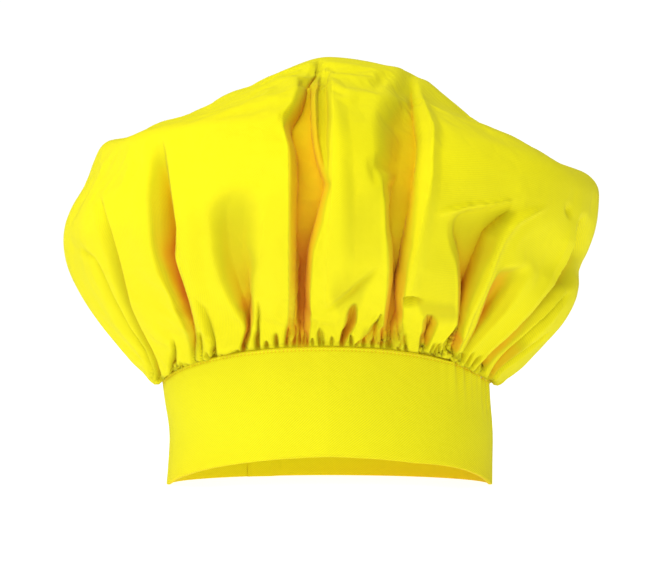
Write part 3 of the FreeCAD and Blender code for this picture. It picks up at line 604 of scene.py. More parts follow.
# Where light is lost inside the folds: as the folds, with the share of the deepest colour as depth
SHADE_TEXT = """
124.9 59.1 77.7 0 3.3 5.3; 120.2 60.4 80.3 0.16 3.3 4; 114.2 63.1 83 0.18 3.3 3.3;
107.6 69.7 83.7 0 3.3 2.7

147.4 7.3 28.6 0 9.3 5.3; 138.1 6 25.9 0.1 8 5.3; 128.8 4.6 20.6 0.2 6.6 5.3;
120.2 6 17.9 0.14 5.3 5.3; 114.2 8.6 16.6 0 4 4

255 15.3 36.5 0 6.6 6.6; 235.1 15.3 36.5 0.08 8 8; 188.6 15.3 31.2 0.1 8 4;
155.4 16.6 32.5 0.1 8 4; 138.8 17.9 32.5 0 6.6 4

162 68.4 81.7 0 6.6 2; 147.4 65.7 81.7 0.08 8 2; 132.2 60.4 81.7 0.1 8 2;
118.9 61.8 81.7 0.12 5.3 2; 110.2 65.7 81.7 0.06 5.3 2; 104.9 68.4 80.3 0 4 2

228.4 -110.2 -108.9 0 4 2; 211.8 -113.5 -106.9 0.2 5.3 2.7; 188.6 -115.5 -103.6 0.28 5.3 2.7;
170 -113.5 -101.3 0.32 5.3 2; 158.7 -112.2 -101.9 0.4 5.3 2; 150.8 -110.2 -102.3 0.48 5.3 2;
132.8 -103.6 -97.3 0.45 5.3 2; 120.2 -98.9 -93 0.42 4.6 2; 106.9 -94.3 -89 0.35 4 2;
92.3 -92.3 -87.6 0.25 2.7 2; 78.4 -90.3 -87.6 0 2 2

164.7 -105.9 -101.9 0 2.7 1.3; 150.8 -105.9 -102.3 0.3 2.7 1.3; 142.1 -104.6 -99.6 0.55 2.7 1.3;
132.8 -102.3 -96.3 0.62 2.7 1.3; 120.2 -97.6 -92.3 0.62 2.7 1.3; 111.6 -93.6 -90 0.55 2 1.3;
103.6 -91 -89 0 2 1.3

283.6 -6.6 -4 0 2.7 2; 271.6 -15.3 -7.3 0.22 2.7 2; 253 -21.2 -9.3 0.32 2 2;
242.4 -27.2 -8.6 0.34 2 2; 234.4 -29.5 -8.3 0.38 1 2; 221.8 -26.7 -6.6 0.42 0.8 2;
210.5 -26.6 -4.6 0.42 0.7 2.7; 198.6 -26.6 -1.3 0.42 0.7 3.3; 174.7 -26.6 -6 0.42 0.7 3.3;
154.7 -26.6 -11.6 0.42 0.7 2; 122.2 -26.2 -13.3 0.38 0.7 2; 102.3 -27.2 -13.3 0.35 1.3 1.3;
91 -28.6 -13.9 0.25 1.3 1.3

164.7 -19.9 -12 0 5.3 2; 155.4 -20.6 -12 0.18 4 2; 144.8 -20.3 -12.9 0.38 2.7 1.3;
122.2 -19.9 -13.4 0.48 1.3 1.3; 106.9 -19.9 -13.4 0.48 1.3 1.3; 97.6 -19.6 -13.6 0.3 1.3 1.3;
93 -19.3 -13.9 0 1.3 1.3

274.9 -8.6 0.7 0 2 1.3; 265 -8.6 0.7 0.16 2 1.3; 235.1 -8 0.7 0.2 2 1.3;
211.8 -4.6 -0.7 0.18 2 1.3; 201.9 -2 -0.7 0 2 1.3

274.9 53.1 55.8 0 5.3 2; 261.6 51.1 56.4 0.2 12 2.7; 245 48.5 58.4 0.32 18.6 4;
234.4 47.8 59.1 0.38 21.2 4.6; 211.8 45.8 58.4 0.42 19.9 4; 201.9 41.8 57.8 0.4 12 3.3;
189.9 39.2 57.8 0.33 4.6 2.7; 168.7 37.8 55.1 0.27 1.7 2; 144.8 39.2 50.5 0.24 1.7 2;
108.9 37.2 47.8 0.3 1.3 1.3; 91.7 35.9 49.8 0.18 1.3 1.3

164.7 37.8 55.1 0 2.7 2.7; 154.1 38.5 52.5 0.08 2.7 2.7; 143.4 39.2 50.5 0.14 2 2;
128.8 39.2 48.1 0.28 2 2; 110.2 36.9 47.8 0.3 2 2; 99.6 35.9 44.5 0.24 2 2.7;
92.3 35.9 41.8 0 2 2.7

184.6 93.6 124.2 0 6.6 3.3; 175.3 87 118.9 0.14 6.6 3.3; 164 85.7 110.9 0.2 8 3.3;
154.7 85.3 106.9 0.26 5.3 3.3; 136.8 85.3 98.9 0.24 2 3.3; 122.2 85.3 92.3 0.24 2 2.7;
105.6 85.3 87.6 0.26 1.3 2; 89 82.3 85 0.15 1.3 1.3; 84.4 81.7 83 0 1.3 1.3

154.1 85.7 102.9 0 2 6; 145.4 85.3 98.9 0.08 2 5.3; 135.5 85.3 94.3 0.2 1.3 4;
127.5 85.3 92.3 0.28 1.3 2.7; 120.2 85.3 89.6 0.22 1.3 2.7; 115.6 85.7 87.6 0 1.3 2

146.1 113.5 125.5 0 3.3 8; 136.8 110.2 120.8 0.34 2 9.3; 127.5 105.6 115.5 0.54 1.3 8.6;
116.9 101.3 108.9 0.6 1.3 7.3; 106.9 98.3 104.2 0.52 1.3 6; 92.3 91 94.3 0.3 1.3 3.3;
83.7 87 89.6 0 1.3 2

102.3 83 86.3 0 2 2; 97 83.7 87 0.5 2 2.7; 90.3 83 85.7 0.4 2 2; 85.7 82.3 83.7 0 1.3 1.3

155.4 160 166.7 0 2 5.3; 147.4 157.4 163.3 0.3 1.7 5.3; 132.2 151.4 156.7 0.26 1.7 5.3;
114.2 135.5 141.4 0.28 1.7 5.3; 99 120.8 126.8 0.46 1.7 5.3; 89 111.6 116.9 0.52 1.7 4.6;
78.4 102.3 106.2 0.35 1.7 3.3; 73.7 98.9 101.6 0 1.3 2

95.6 131.5 134.1 0 2 2; 87.7 122.2 125.5 0.35 2 2; 77 110.9 114.2 0.45 2 2;
69.1 105.6 107.6 0.2 2 2; 66.4 104.2 105.6 0 1.3 1.3

200.6 -63.1 -59.8 0 12 14.6; 185.9 -68.4 -61.1 0.17 15.9 19.9; 172 -69.1 -61.1 0.24 14.6 21.2;
154.1 -67.7 -59.8 0.27 13.3 19.9; 136.8 -65.1 -56.4 0.3 10 12; 122.2 -60.4 -52.5 0.31 6.6 5.3;
108.9 -54.4 -51.1 0.5 2 2; 102.3 -54.8 -52.5 0.5 1.7 1.7; 92.3 -57.1 -55.1 0.35 1.3 1.3;
84.4 -59.1 -57.8 0.1 1.3 1.3

122.2 15.3 18.9 0 3.3 2; 112.2 12.6 17.9 0.26 3.3 1.3; 104.3 10.6 16.6 0.36 2.7 1.3;
98.3 8.6 12.6 0.38 2 1.3; 91 7.3 9.3 0.2 1.3 1.3

112.9 63.1 70.4 0 2.7 2.7; 107.6 62.4 70.4 0.34 1.3 2.7; 99 62.1 68.4 0.34 1.3 2;
91 62.1 65.1 0.3 1.3 1.3

105.6 24.6 34.5 0 2.7 2; 99.6 23.2 34.5 0.3 2.7 2; 92.3 19.3 34.5 0.3 2.7 2

188.6 -153.4 -150.7 0 5.3 2; 170 -149.4 -146.1 0.1 5.3 2; 148.8 -144.1 -140.8 0.14 5.3 2;
122.2 -136.1 -133.5 0.14 4.6 2; 92.3 -123.5 -122.2 0.16 4 1.3; 71.7 -113.5 -112.2 0.1 2 1.3
"""
SHADES = [table(rows) for rows in SHADE_TEXT.split("\n\n")]

# Folds round the back and sides: angle at the band, lean towards the top in degrees, depth,
# half width, start and full depth as shares of the way down
BACK_FOLDS = table("""6 4 14 7 0.45 0.75; 17 -3 9 5 0.6 0.8; 31 -5 20 8 0.22 0.5;
    42 3 8 4 0.7 0.86; 53 4 16 7 0.3 0.6; 64 -2 10 4.5 0.62 0.8; 74 -4 22 8 0.2 0.45;
    85 2 8 4 0.7 0.85; 96 5 18 8 0.26 0.55; 108 -3 11 5 0.55 0.8; 119 3 21 8 0.2 0.5;
    130 2 8 4 0.72 0.88; 141 -5 17 7 0.3 0.6; 152 3 9 4.5 0.65 0.82; 164 4 15 7 0.32 0.65;
    175 -2 8 5 0.6 0.8""")


# ------------------------------------------------------------------ crown: shape
def base_grid():
    """Smooth crown without folds, and the length of cloth from the middle to the seam."""
    angle = np.radians(COLUMN_DEG)
    cosine, sine = np.cos(angle), np.sin(angle)
    stations = []
    for left, right, front, back in list(zip(LEFT, RIGHT, FRONT, BACK))[::-1]:
        reach_x, side_z = [np.where(cosine > 0, right[k], left[k]) for k in (0, 1)]
        reach_y, end_z = [np.where(sine > 0, back[k], front[k]) for k in (0, 1)]
        z = side_z * cosine * cosine + end_z * sine * sine
        stations.append(np.stack([reach_x * cosine, reach_y * sine, z], 1))
    edge = z_top(ring(COLUMN_DEG, STITCH_LEVEL)[1])
    for inward, rise in COLLAR:
        x, y = ring(COLUMN_DEG, edge + rise, inward)
        stations.append(np.stack([x, y, edge + rise], 1))
    mirrored = stations[0] * np.array([-1, -1, 1.0])
    poles = np.array([mirrored] + stations + [2 * stations[-1] - stations[-2]])

    # uniform cubic through the stations, with ten points to each
    fine = 10
    u = np.arange((len(stations) - 1) * fine + 1) / fine
    i = np.minimum(u.astype(int), len(stations) - 2)
    f = (u - i)[:, None, None]
    points = ((1 - f) ** 3 * poles[i] + (3 * f ** 3 - 6 * f ** 2 + 4) * poles[i + 1]
              + (-3 * f ** 3 + 3 * f ** 2 + 3 * f + 1) * poles[i + 2]
              + f ** 3 * poles[i + 3]) / 6
    # start exactly at the middle
    top = np.array([0.0, 0.0, points[0, :, 2].mean()])
    points = np.concatenate([np.broadcast_to(top, (1, COLUMNS, 3)), points])
    steps = np.linalg.norm(np.diff(points, axis=0), axis=2)
    length = np.concatenate([np.zeros((1, COLUMNS)), np.cumsum(steps, 0)])
    seam = length[SEAM_STATION * fine + 1]
    grid = np.zeros((COLUMNS, ROWS, 3))
    for column in range(COLUMNS):
        share = length[:, column] / seam[column]
        for k in range(3):
            grid[column, :, k] = np.interp(DOWN, share, points[:, column, k])
    return grid, seam


def normals_of(grid):
    around = np.roll(grid, -1, 0) - np.roll(grid, 1, 0)
    down = np.gradient(grid, axis=1)
    normal = np.cross(down, around)
    normal = normal / np.maximum(np.linalg.norm(normal, axis=2, keepdims=True), 1e-9)
    away = grid - np.array([0, 0, 150.0])  # from the middle of the hat
    normal[:, 1:] *= np.sign((normal * away).sum(2).mean())
    normal[:, 0] = (0, 0, 1)
    return normal


def resampled(rows, count):
    """Even heights from the bottom up, and the other columns of a fold table at them."""
    rising = rows[::-1]
    heights = np.linspace(rising[0, 0], rising[-1, 0], count)
    return heights, [np.interp(heights, rising[:, 0], rising[:, k]) for k in range(1, 6)]


def fold_wall(u, soft):
    """Rise from 0 to 1 across a fold's wall: crisp, or an even curve where it is soft."""
    u = np.clip(u, 0, 1)
    crisp = 0.45 * u ** 2.6 + 0.55 * (1 - np.sqrt(1 - u ** 2.2))
    even = smooth(3.5, 9.0, soft)
    return crisp * (1 - even) + even * u * u * (3 - 2 * u)


def fold_depth(rows, x, z):
    """Depth of one fold at points of the front's view. It ends at its top row."""
    heights, columns = resampled(rows, 90)
    kernel = np.array([1, 4, 6, 4, 1.0]) / 16
    columns = [np.convolve(np.concatenate([[c[0]] * 2, c, [c[-1]] * 2]), kernel, mode="valid")
               for c in columns]
    left, right, depth, soft_left, soft_right = [np.interp(z, heights, c) for c in columns]
    depth = np.where(z > heights[-1], 0.0, depth)
    below = (0 if rows[-1][3] == 0 else depth) * np.exp(-((heights[0] - z) / 4.0).clip(0) ** 2)
    depth = np.where(z < heights[0], below, depth)
    inner = np.clip(0.18 * (right - left), 0, 1.6) + 0.2
    return (depth * fold_wall((x - left + soft_left) / (soft_left + inner), soft_left)
            * fold_wall((right + soft_right - x) / (soft_right + inner), soft_right))


def shade_amount(rows, x, z):
    """As fold_depth, with plain soft edges."""
    heights, columns = resampled(rows, 60)
    left, right, depth, soft_left, soft_right = [np.interp(z, heights, c) for c in columns]
    depth = np.where((z > heights[-1]) | (z < heights[0]), 0, depth)
    return (depth * smooth(0, 1, (x - left + soft_left) / np.maximum(soft_left, 0.3))
            * smooth(0, 1, (right + soft_right - x) / np.maximum(soft_right, 0.3)))


def front_folds(x, z):
    """Depths of the valleys, the creases and ridges, and the rim valleys."""
    valley, crease, rim = np.zeros_like(x), np.zeros_like(x), np.zeros_like(x)
    for name, rows in FOLDS.items():
        depth = fold_depth(rows, x, z)
        if name in RIM_VALLEYS:
            rim += np.maximum(depth, 0) ** 3
        elif name.startswith("valley"):
            valley += np.maximum(depth, 0) ** 3
        else:
            crease += depth
    return np.cbrt(valley), crease, np.cbrt(rim)


def back_folds(radius, above):
    """Depth of the folds round the back and sides. One wall of each is steeper."""
    total = np.zeros_like(radius)
    at_seam = 0.3 * smooth(0.2, 2, above) + 0.7 * smooth(0, 16, above)
    for i, (foot, lean, depth, half_width, start, full) in enumerate(BACK_FOLDS):
        wander = 1.6 * np.sin(DOWN * 9 + i * 1.7) + 0.8 * np.sin(DOWN * 21 + i)
        middle = foot + lean * (1 - DOWN) + wander * 0.6
        turn = (COLUMN_DEG[:, None] - middle + 180) % 360 - 180
        arc = np.radians(turn) * np.maximum(radius, 20)
        width = half_width * (0.55 + 0.75 * smooth(0, 90, above))
        steep = 0.40 + 0.45 * ((i * 7) % 3) / 2
        after, before = (1.35, steep) if i % 2 else (steep, 1.35)
        side = np.where(arc > 0, after, before)
        profile = np.exp(-np.abs(arc / (width * side)) ** 1.8)
        total += (depth * profile * smooth(start, full, DOWN) * at_seam) ** 3
    return np.cbrt(total)


def pleat(x, z, x0, z0, x1, z1):
    """A narrow slit from its foot on the seam to its top, widening a little on the way up."""
    run = np.clip((z - z0) / (z1 - z0), -0.6, 1.4)
    side = 0.25 if x1 > x0 else -0.25
    bow = 0.10 * (z1 - z0) * np.sin(math.pi * np.clip(run, 0, 1)) * side
    middle = x0 + (x1 - x0) * run + bow
    width = 0.80 + 0.055 * np.clip(z - z0, 0, 40)
    return np.exp(-np.abs((x - middle) / width) ** 1.6) * (1 - smooth(0.35, 1.0, run))


def front_slits(x, z, above):
    slit = np.zeros_like(x)
    near = above < 70
    deepest = np.zeros(x[near].shape)
    for *ends, depth in FRONT_PLEATS:
        deepest = np.maximum(deepest, depth * pleat(x[near], z[near], *ends))
    slit[near] = deepest
    return slit


def seeded_slits(radius, above, count=78):
    """Pleats at uneven steps all the way round the seam. Three in ten reach far up."""
    random = np.random.default_rng(7)
    gap = random.uniform(0.62, 1.38, count)
    seam_radius = radius[:, np.argmin(np.abs(DOWN - 1.0))]
    mm_per_degree = np.radians(1.0) * seam_radius[:, None]
    around = np.zeros_like(above)
    for i, foot in enumerate(np.cumsum(gap) / gap.sum() * 360.0):
        long = random.uniform() < 0.30
        reach = random.uniform(30, 62) if long else random.uniform(9, 22)
        depth = random.uniform(3.6, 5.6) if long else random.uniform(2.2, 4.4)
        lean = random.normal(0, 4.0)
        middle = foot + lean * (above / 60.0) + 0.5 * np.sin(above / 9.0 + i)
        arc = ((COLUMN_DEG[:, None] - middle + 180) % 360 - 180) * mm_per_degree
        width = (0.85 + 0.060 * np.clip(above, 0, 80)) * random.uniform(0.85, 1.2)
        skew = np.where(arc > 0, 1.0 + 0.45 * random.uniform(-1, 1), 1.0)
        profile = np.exp(-np.abs(arc / (width * skew)) ** 1.6)
        around = np.maximum(around, depth * (profile * (1 - smooth(0.25 * reach, reach, above))))
    return around


def unevenness(above):
    """Soft swells of the whole cloth, and faint pulls that run out from the seam."""
    angle = np.radians(COLUMN_DEG)[:, None]
    flat_x, flat_y = np.cos(angle) * DOWN * 3.0, np.sin(angle) * DOWN * 3.0
    soft = 1.2 * wave_noise(flat_x * 2.4, flat_y * 2.4, seed=11)
    soft += 0.7 * wave_noise(flat_x * 6.5, flat_y * 6.5, seed=12)
    pulls = wave_noise(angle * 21, DOWN[None, :] * 2.2, seed=13, count=14)
    soft += 0.55 * pulls * smooth(0.45, 0.8, DOWN)
    return soft * smooth(0.02, 0.2, DOWN) * smooth(2, 30, above)


def crown_surface():
    """Folded grid, its painted fold shade, how hollow it is, and x and z in the front's view."""
    base, seam = base_grid()
    normal = normals_of(base)
    ahead = -normal[..., 1]  # 1 where the cloth faces the front
    x, y, z = base[..., 0], base[..., 1], base[..., 2]
    shrink = EYE_DISTANCE / (EYE_DISTANCE + y)
    view_x = (x - EYE_X) * shrink + EYE_X
    view_z = (z - EYE_Z) * shrink + EYE_Z
    radius = np.hypot(x, y)
    above = (1.0 - DOWN)[None, :] * seam[:, None]  # mm of cloth above the seam

    # where each set of folds applies
    started = smooth(0.03, 0.12, DOWN)
    flat_top = smooth(0.5, 0.85, normal[..., 2])
    facing = (flat_top * smooth(0.02, 0.30, ahead) + (1 - flat_top) * smooth(0.06, 0.34, ahead))
    front = facing * started
    not_back = smooth(-0.30, 0.04, ahead)
    back = smooth(-0.10, 0.22, -ahead)
    at_seam = 0.40 * smooth(0.2, 2.0, above) + 0.60 * smooth(1.0, 14, above)

    valley, crease, rim = front_folds(view_x, view_z)
    rim = rim * not_back * (0.45 + 0.55 * smooth(0.05, 0.30, ahead)) * started
    depth_front = (valley * at_seam + crease * (0.35 + 0.65 * smooth(0, 8, above))) * front
    depth_front = depth_front + rim * at_seam
    depth_back = back_folds(radius, above) * back

    slit = front_slits(view_x, view_z, above) * (smooth(0.10, 0.22, ahead) * (1 - back))
    slit = np.maximum(slit, seeded_slits(radius, above) * (1 - smooth(0.10, 0.24, ahead)))
    # the cloth rolls out full between the slits
    roll = np.exp(-((above - 7.5) / 6.5) ** 2) * np.clip(1 - slit / 1.6, 0, 1)
    uneven = wave_noise(np.radians(COLUMN_DEG)[:, None] * 14, DOWN[None, :] * 3, seed=5)
    gathers = slit * smooth(0.0, 1.2, above) - 1.5 * roll * (1 + 0.35 * uneven)

    hollow = valley * front + rim + depth_back
    puff = 2.0 * smooth(10, 50, above) * smooth(0.0, 0.8, np.abs(ahead))
    depth = (depth_front + depth_back + gathers + unevenness(above)
             - puff * (1 - np.clip(hollow / 8.0, 0, 1)))
    depth = np.where(above < 0, 0.0, depth)
    shaped = base - normal * depth[..., None]

    # the walls of each fold roll out over it, so it is narrower at its mouth than inside
    folded_normal = normals_of(shaped)
    slope = 1 - np.clip((normal * folded_normal).sum(2), 0, 1)
    mouth = smooth(1.0, 4.5, hollow) * (1 - smooth(9.0, 15.0, hollow)) * smooth(0.15, 0.6, slope)
    shaped = shaped + folded_normal * (1.5 * mouth * smooth(2, 10, above))[..., None]

    # painted shade: the shade tables darken the colour where the folds are darkest
    shade = np.zeros_like(x)
    for rows in SHADES:
        shade = 1 - (1 - shade) * (1 - shade_amount(rows, view_x, view_z))
    shade = shade * np.maximum(front, not_back * started * smooth(0.02, 0.2, ahead))
    # painted shade down in the slits, and a little in the back folds
    painted_slit_shade = 0.05 * slit * smooth(0, 1.0, above) * (1 - 0.5 * smooth(8, 30, above))
    painted_fold_shade = np.clip(shade + 0.020 * depth_back + painted_slit_shade, 0, 1)
    return shaped, painted_fold_shade, hollow, view_x, view_z


# ------------------------------------------------------------------ crown: small wrinkles
CLOTH_FRAMES = 16
CLOTH_SETTINGS = dict(
    quality=5, mass=0.12, air_damping=2.0,
    tension_stiffness=12, compression_stiffness=12, shear_stiffness=6, bending_stiffness=1.2,
    tension_damping=8, compression_damping=8, shear_damping=8, bending_damping=1.0,
    vertex_group_mass="hold", pin_stiffness=1.0,
    shrink_min=-0.018)  # the cloth is a little larger than its shape
HOLD_LEVELS = 40
COLUMN_STEP, ROW_STEP, FIRST_ROW = 4, 3, 12  # the part of the grid that the cloth run uses
MOST_SHIFT = 3.0  # the furthest the cloth run may move a point


def settle(grid, hold):
    """Shift of each point in a short cloth run, where spare cloth buckles into wrinkles."""
    columns, rows = grid.shape[:2]
    faces = grid_faces(columns, rows, wrap_u=True, flip=True)
    ob = mesh_object("cloth_run", grid.reshape(-1, 3), faces)
    group = ob.vertex_groups.new(name="hold")
    level = np.round(hold.reshape(-1) * HOLD_LEVELS).astype(int)
    for q in range(1, HOLD_LEVELS + 1):
        held = np.nonzero(level == q)[0]
        if len(held):
            group.add(held.tolist(), q / HOLD_LEVELS, "REPLACE")
    cloth = ob.modifiers.new("cloth", "CLOTH")
    for key, value in CLOTH_SETTINGS.items():
        setattr(cloth.settings, key, value)
    cloth.settings.effector_weights.gravity = 0.0
    cloth.collision_settings.use_collision = False
    cloth.collision_settings.use_self_collision = False
    cloth.point_cache.frame_start = 1
    cloth.point_cache.frame_end = CLOTH_FRAMES + 1
    for number in range(1, CLOTH_FRAMES + 1):
        scene.frame_set(number)
    settled = ob.evaluated_get(bpy.context.evaluated_depsgraph_get()).to_mesh()
    places = np.zeros(len(settled.vertices) * 3, np.float32)
    settled.vertices.foreach_get("co", places)
    shift = places.reshape(columns, rows, 3).astype(float) / MM - grid
    data = ob.data
    bpy.data.objects.remove(ob)
    bpy.data.meshes.remove(data)
    scene.frame_set(1)
    return shift


def wrinkled(grid, hollow):
    """Runs the cloth on a coarse grid and spreads its wrinkles smoothly over the fine one."""
    picked = np.arange(0, COLUMNS, COLUMN_STEP)
    rows = np.arange(FIRST_ROW, ROWS, ROW_STEP)
    share = DOWN[rows]
    ends = np.maximum(1 - smooth(0.055, 0.14, share), smooth(0.95, 0.985, share))
    hold = np.maximum(0.10 + 0.90 * ends, 0.30 * smooth(5, 12, hollow[picked][:, rows]))
    shift = settle(grid[picked][:, rows], hold)
    # keep the wrinkles, not the swelling as a whole
    swelling = shift.copy()
    for _ in range(14):
        swelling = soften_down(soften_around(swelling))
    shift = shift - 0.85 * swelling
    amount = np.linalg.norm(shift, axis=2, keepdims=True)
    shift = shift * np.minimum(1, MOST_SHIFT / np.maximum(amount, 1e-6))

    at = np.arange(COLUMNS) / COLUMN_STEP
    column = np.floor(at).astype(int) % len(picked)
    part = (at - np.floor(at))[:, None, None]
    at_row = np.clip((np.arange(ROWS) - FIRST_ROW) / ROW_STEP, 0, len(rows) - 1)
    row = np.minimum(np.floor(at_row).astype(int), len(rows) - 2)
    row_part = (at_row - row)[None, :, None]
    down = shift[:, row] * (1 - row_part) + shift[:, row + 1] * row_part
    fine = down[column] * (1 - part) + down[(column + 1) % len(picked)] * part
    fine[:, :FIRST_ROW] *= (np.arange(FIRST_ROW) / FIRST_ROW)[None, :, None]
    for _ in range(5):
        fine = soften_around(fine)
    for _ in range(3):
        fine = soften_down(fine)
    return grid + fine * (1 - smooth(0.975, 1.0, DOWN))[None, :, None]


# ------------------------------------------------------------------ crown: weave map and mesh
def weave_map(grid, view_x, view_z):
    """Where each point lies on the flat round of cloth.

    Below the widest ring each lobe keeps one straight weave, and the rest of the round is lost in
    the deep folds between the lobes.
    """
    wide = int(np.argmin(np.abs(DOWN - WIDEST)))
    steps = np.linalg.norm(np.roll(grid[:, wide], -1, 0) - grid[:, wide], axis=1)
    for _ in range(80):
        steps = soften_around(steps)
    angle = np.concatenate([[0], np.cumsum(steps)[:-1]]) / steps.sum() * 2 * math.pi

    # the column of each lobe's edge, row by row
    half = COLUMNS // 2
    rear = half + 40
    edges = [np.full(ROWS, np.interp(foot, COLUMN_DEG[:rear], np.arange(rear)))
             for foot in BACK_FOLDS[:, 0]]
    for name in LOBE_EDGES:
        rows = FOLDS[name][::-1]
        middle = np.interp(view_z[half:], rows[:, 0], (rows[:, 1] + rows[:, 2]) / 2)
        edges.append(half + (view_x[half:] < middle).sum(0).astype(float))
    edges = np.array(edges)
    edges = edges[np.argsort(edges[:, wide + 20])]
    cut = edges[:, int(np.argmin(np.abs(DOWN - 0.8)))]
    at = np.interp(cut, np.arange(COLUMNS), angle)
    centre = np.concatenate([[(at[-1] - 2 * math.pi + at[0]) / 2], (at[1:] + at[:-1]) / 2,
                             [(at[-1] + at[0]) / 2 + math.pi]])
    turn = np.full((COLUMNS, ROWS), centre[0])
    column = np.arange(COLUMNS)[:, None]
    for j in range(len(cut)):
        turn = turn + (centre[j + 1] - centre[j]) * smooth(-3.0, 3.0, column - edges[j][None, :])
    inner = np.minimum(DOWN, WIDEST) * CLOTH_RADIUS
    outer = np.maximum(DOWN - WIDEST, 0) * CLOTH_RADIUS
    u = inner[None, :] * np.cos(angle)[:, None] + outer[None, :] * np.cos(turn)
    v = inner[None, :] * np.sin(angle)[:, None] + outer[None, :] * np.sin(turn)
    return np.stack([u, v], 2)


def crown_mesh():
    """The round of cloth as rings. The number of columns halves in steps towards the middle."""
    grid, painted_fold_shade, hollow, view_x, view_z = crown_surface()
    grid = wrinkled(grid, hollow)
    weave = weave_map(grid, view_x, view_z)
    verts, painted_fold_shades, uvs = [grid[0, :1]], [painted_fold_shade[0, :1]], [np.zeros((1, 2))]
    rings = []
    total = 1
    for k in range(1, ROWS):
        step = 2 ** sum(DOWN[k] <= limit for limit in (0.24, 0.15, 0.09, 0.05, 0.03))
        verts.append(grid[::step, k])
        painted_fold_shades.append(painted_fold_shade[::step, k])
        uvs.append(weave[::step, k] * MM)
        rings.append(total + np.arange(COLUMNS // step))
        total += COLUMNS // step
    first = rings[0]
    tris = [np.stack([np.zeros(len(first), int), first, np.roll(first, -1)], 1)]
    quads = []
    for inner, outer in zip(rings[:-1], rings[1:]):
        inner_next = np.roll(inner, -1)
        if len(inner) == len(outer):
            quads.append(np.stack([inner, outer, np.roll(outer, -1), inner_next], 1))
        else:
            even, odd = outer[::2], outer[1::2]
            tris.append(np.stack([inner, even, odd], 1))
            tris.append(np.stack([inner, odd, inner_next], 1))
            tris.append(np.stack([inner_next, odd, np.roll(even, -1)], 1))
    faces = [np.concatenate(tris), np.concatenate(quads)]
    return np.concatenate(verts), faces, np.concatenate(uvs), {"fold": np.concatenate(painted_fold_shades)}


crown = mesh_object("crown_cloth", *crown_mesh(), crown_mat)
solid = crown.modifiers.new("thickness", "SOLIDIFY")
solid.thickness = 0.55 * MM
solid.offset = -1.0
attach(crown, "hat")
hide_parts("crown", "crown_gathering_thread")


# ------------------------------------------------------------------ headband
def band_section():
    """Section rows: inward distance, share of the height, mm above that.

    They run from inside the top over to the outer face, down it, up the inner face and back in.
    """
    inside = 2.75
    rows = [(1.05, 1, -4), (0.98, 1, -1.6), (0.86, 1, -0.55), (0.62, 1, -0.08), (0.34, 1, 0),
            (0.12, 1, -0.22), (0.02, 1, -0.7), (0, 1, -1.3)]
    near_stitches = (-1.6, -1.9, -2.2, -2.5, -2.8, -3.2, -3.8, -4.6, -5.6, -6.8, -8.2, -9.8)
    rows += [(0, 1, rise) for rise in near_stitches]
    rows += [(0, 1 - k / 30, -9.8 + 10.7 * k / 30) for k in range(1, 30)]
    rows += [(0, 0, 0.9), (0.10, 0, 0.35), (0.45, 0, 0.06), (1.38, 0, 0), (2.30, 0, 0.06),
             (2.65, 0, 0.35), (inside, 0, 0.9)]
    rows += [(inside, k / 16, 0.9 - 2.0 * k / 16) for k in range(1, 16)]
    rows += [(inside, 1, -1.1), (2.62, 1, -0.4), (2.4, 1, -0.15), (2.15, 1, -0.5),
             (2.05, 1, -1.6), (2.0, 1, -4)]
    return np.array(rows, float).T


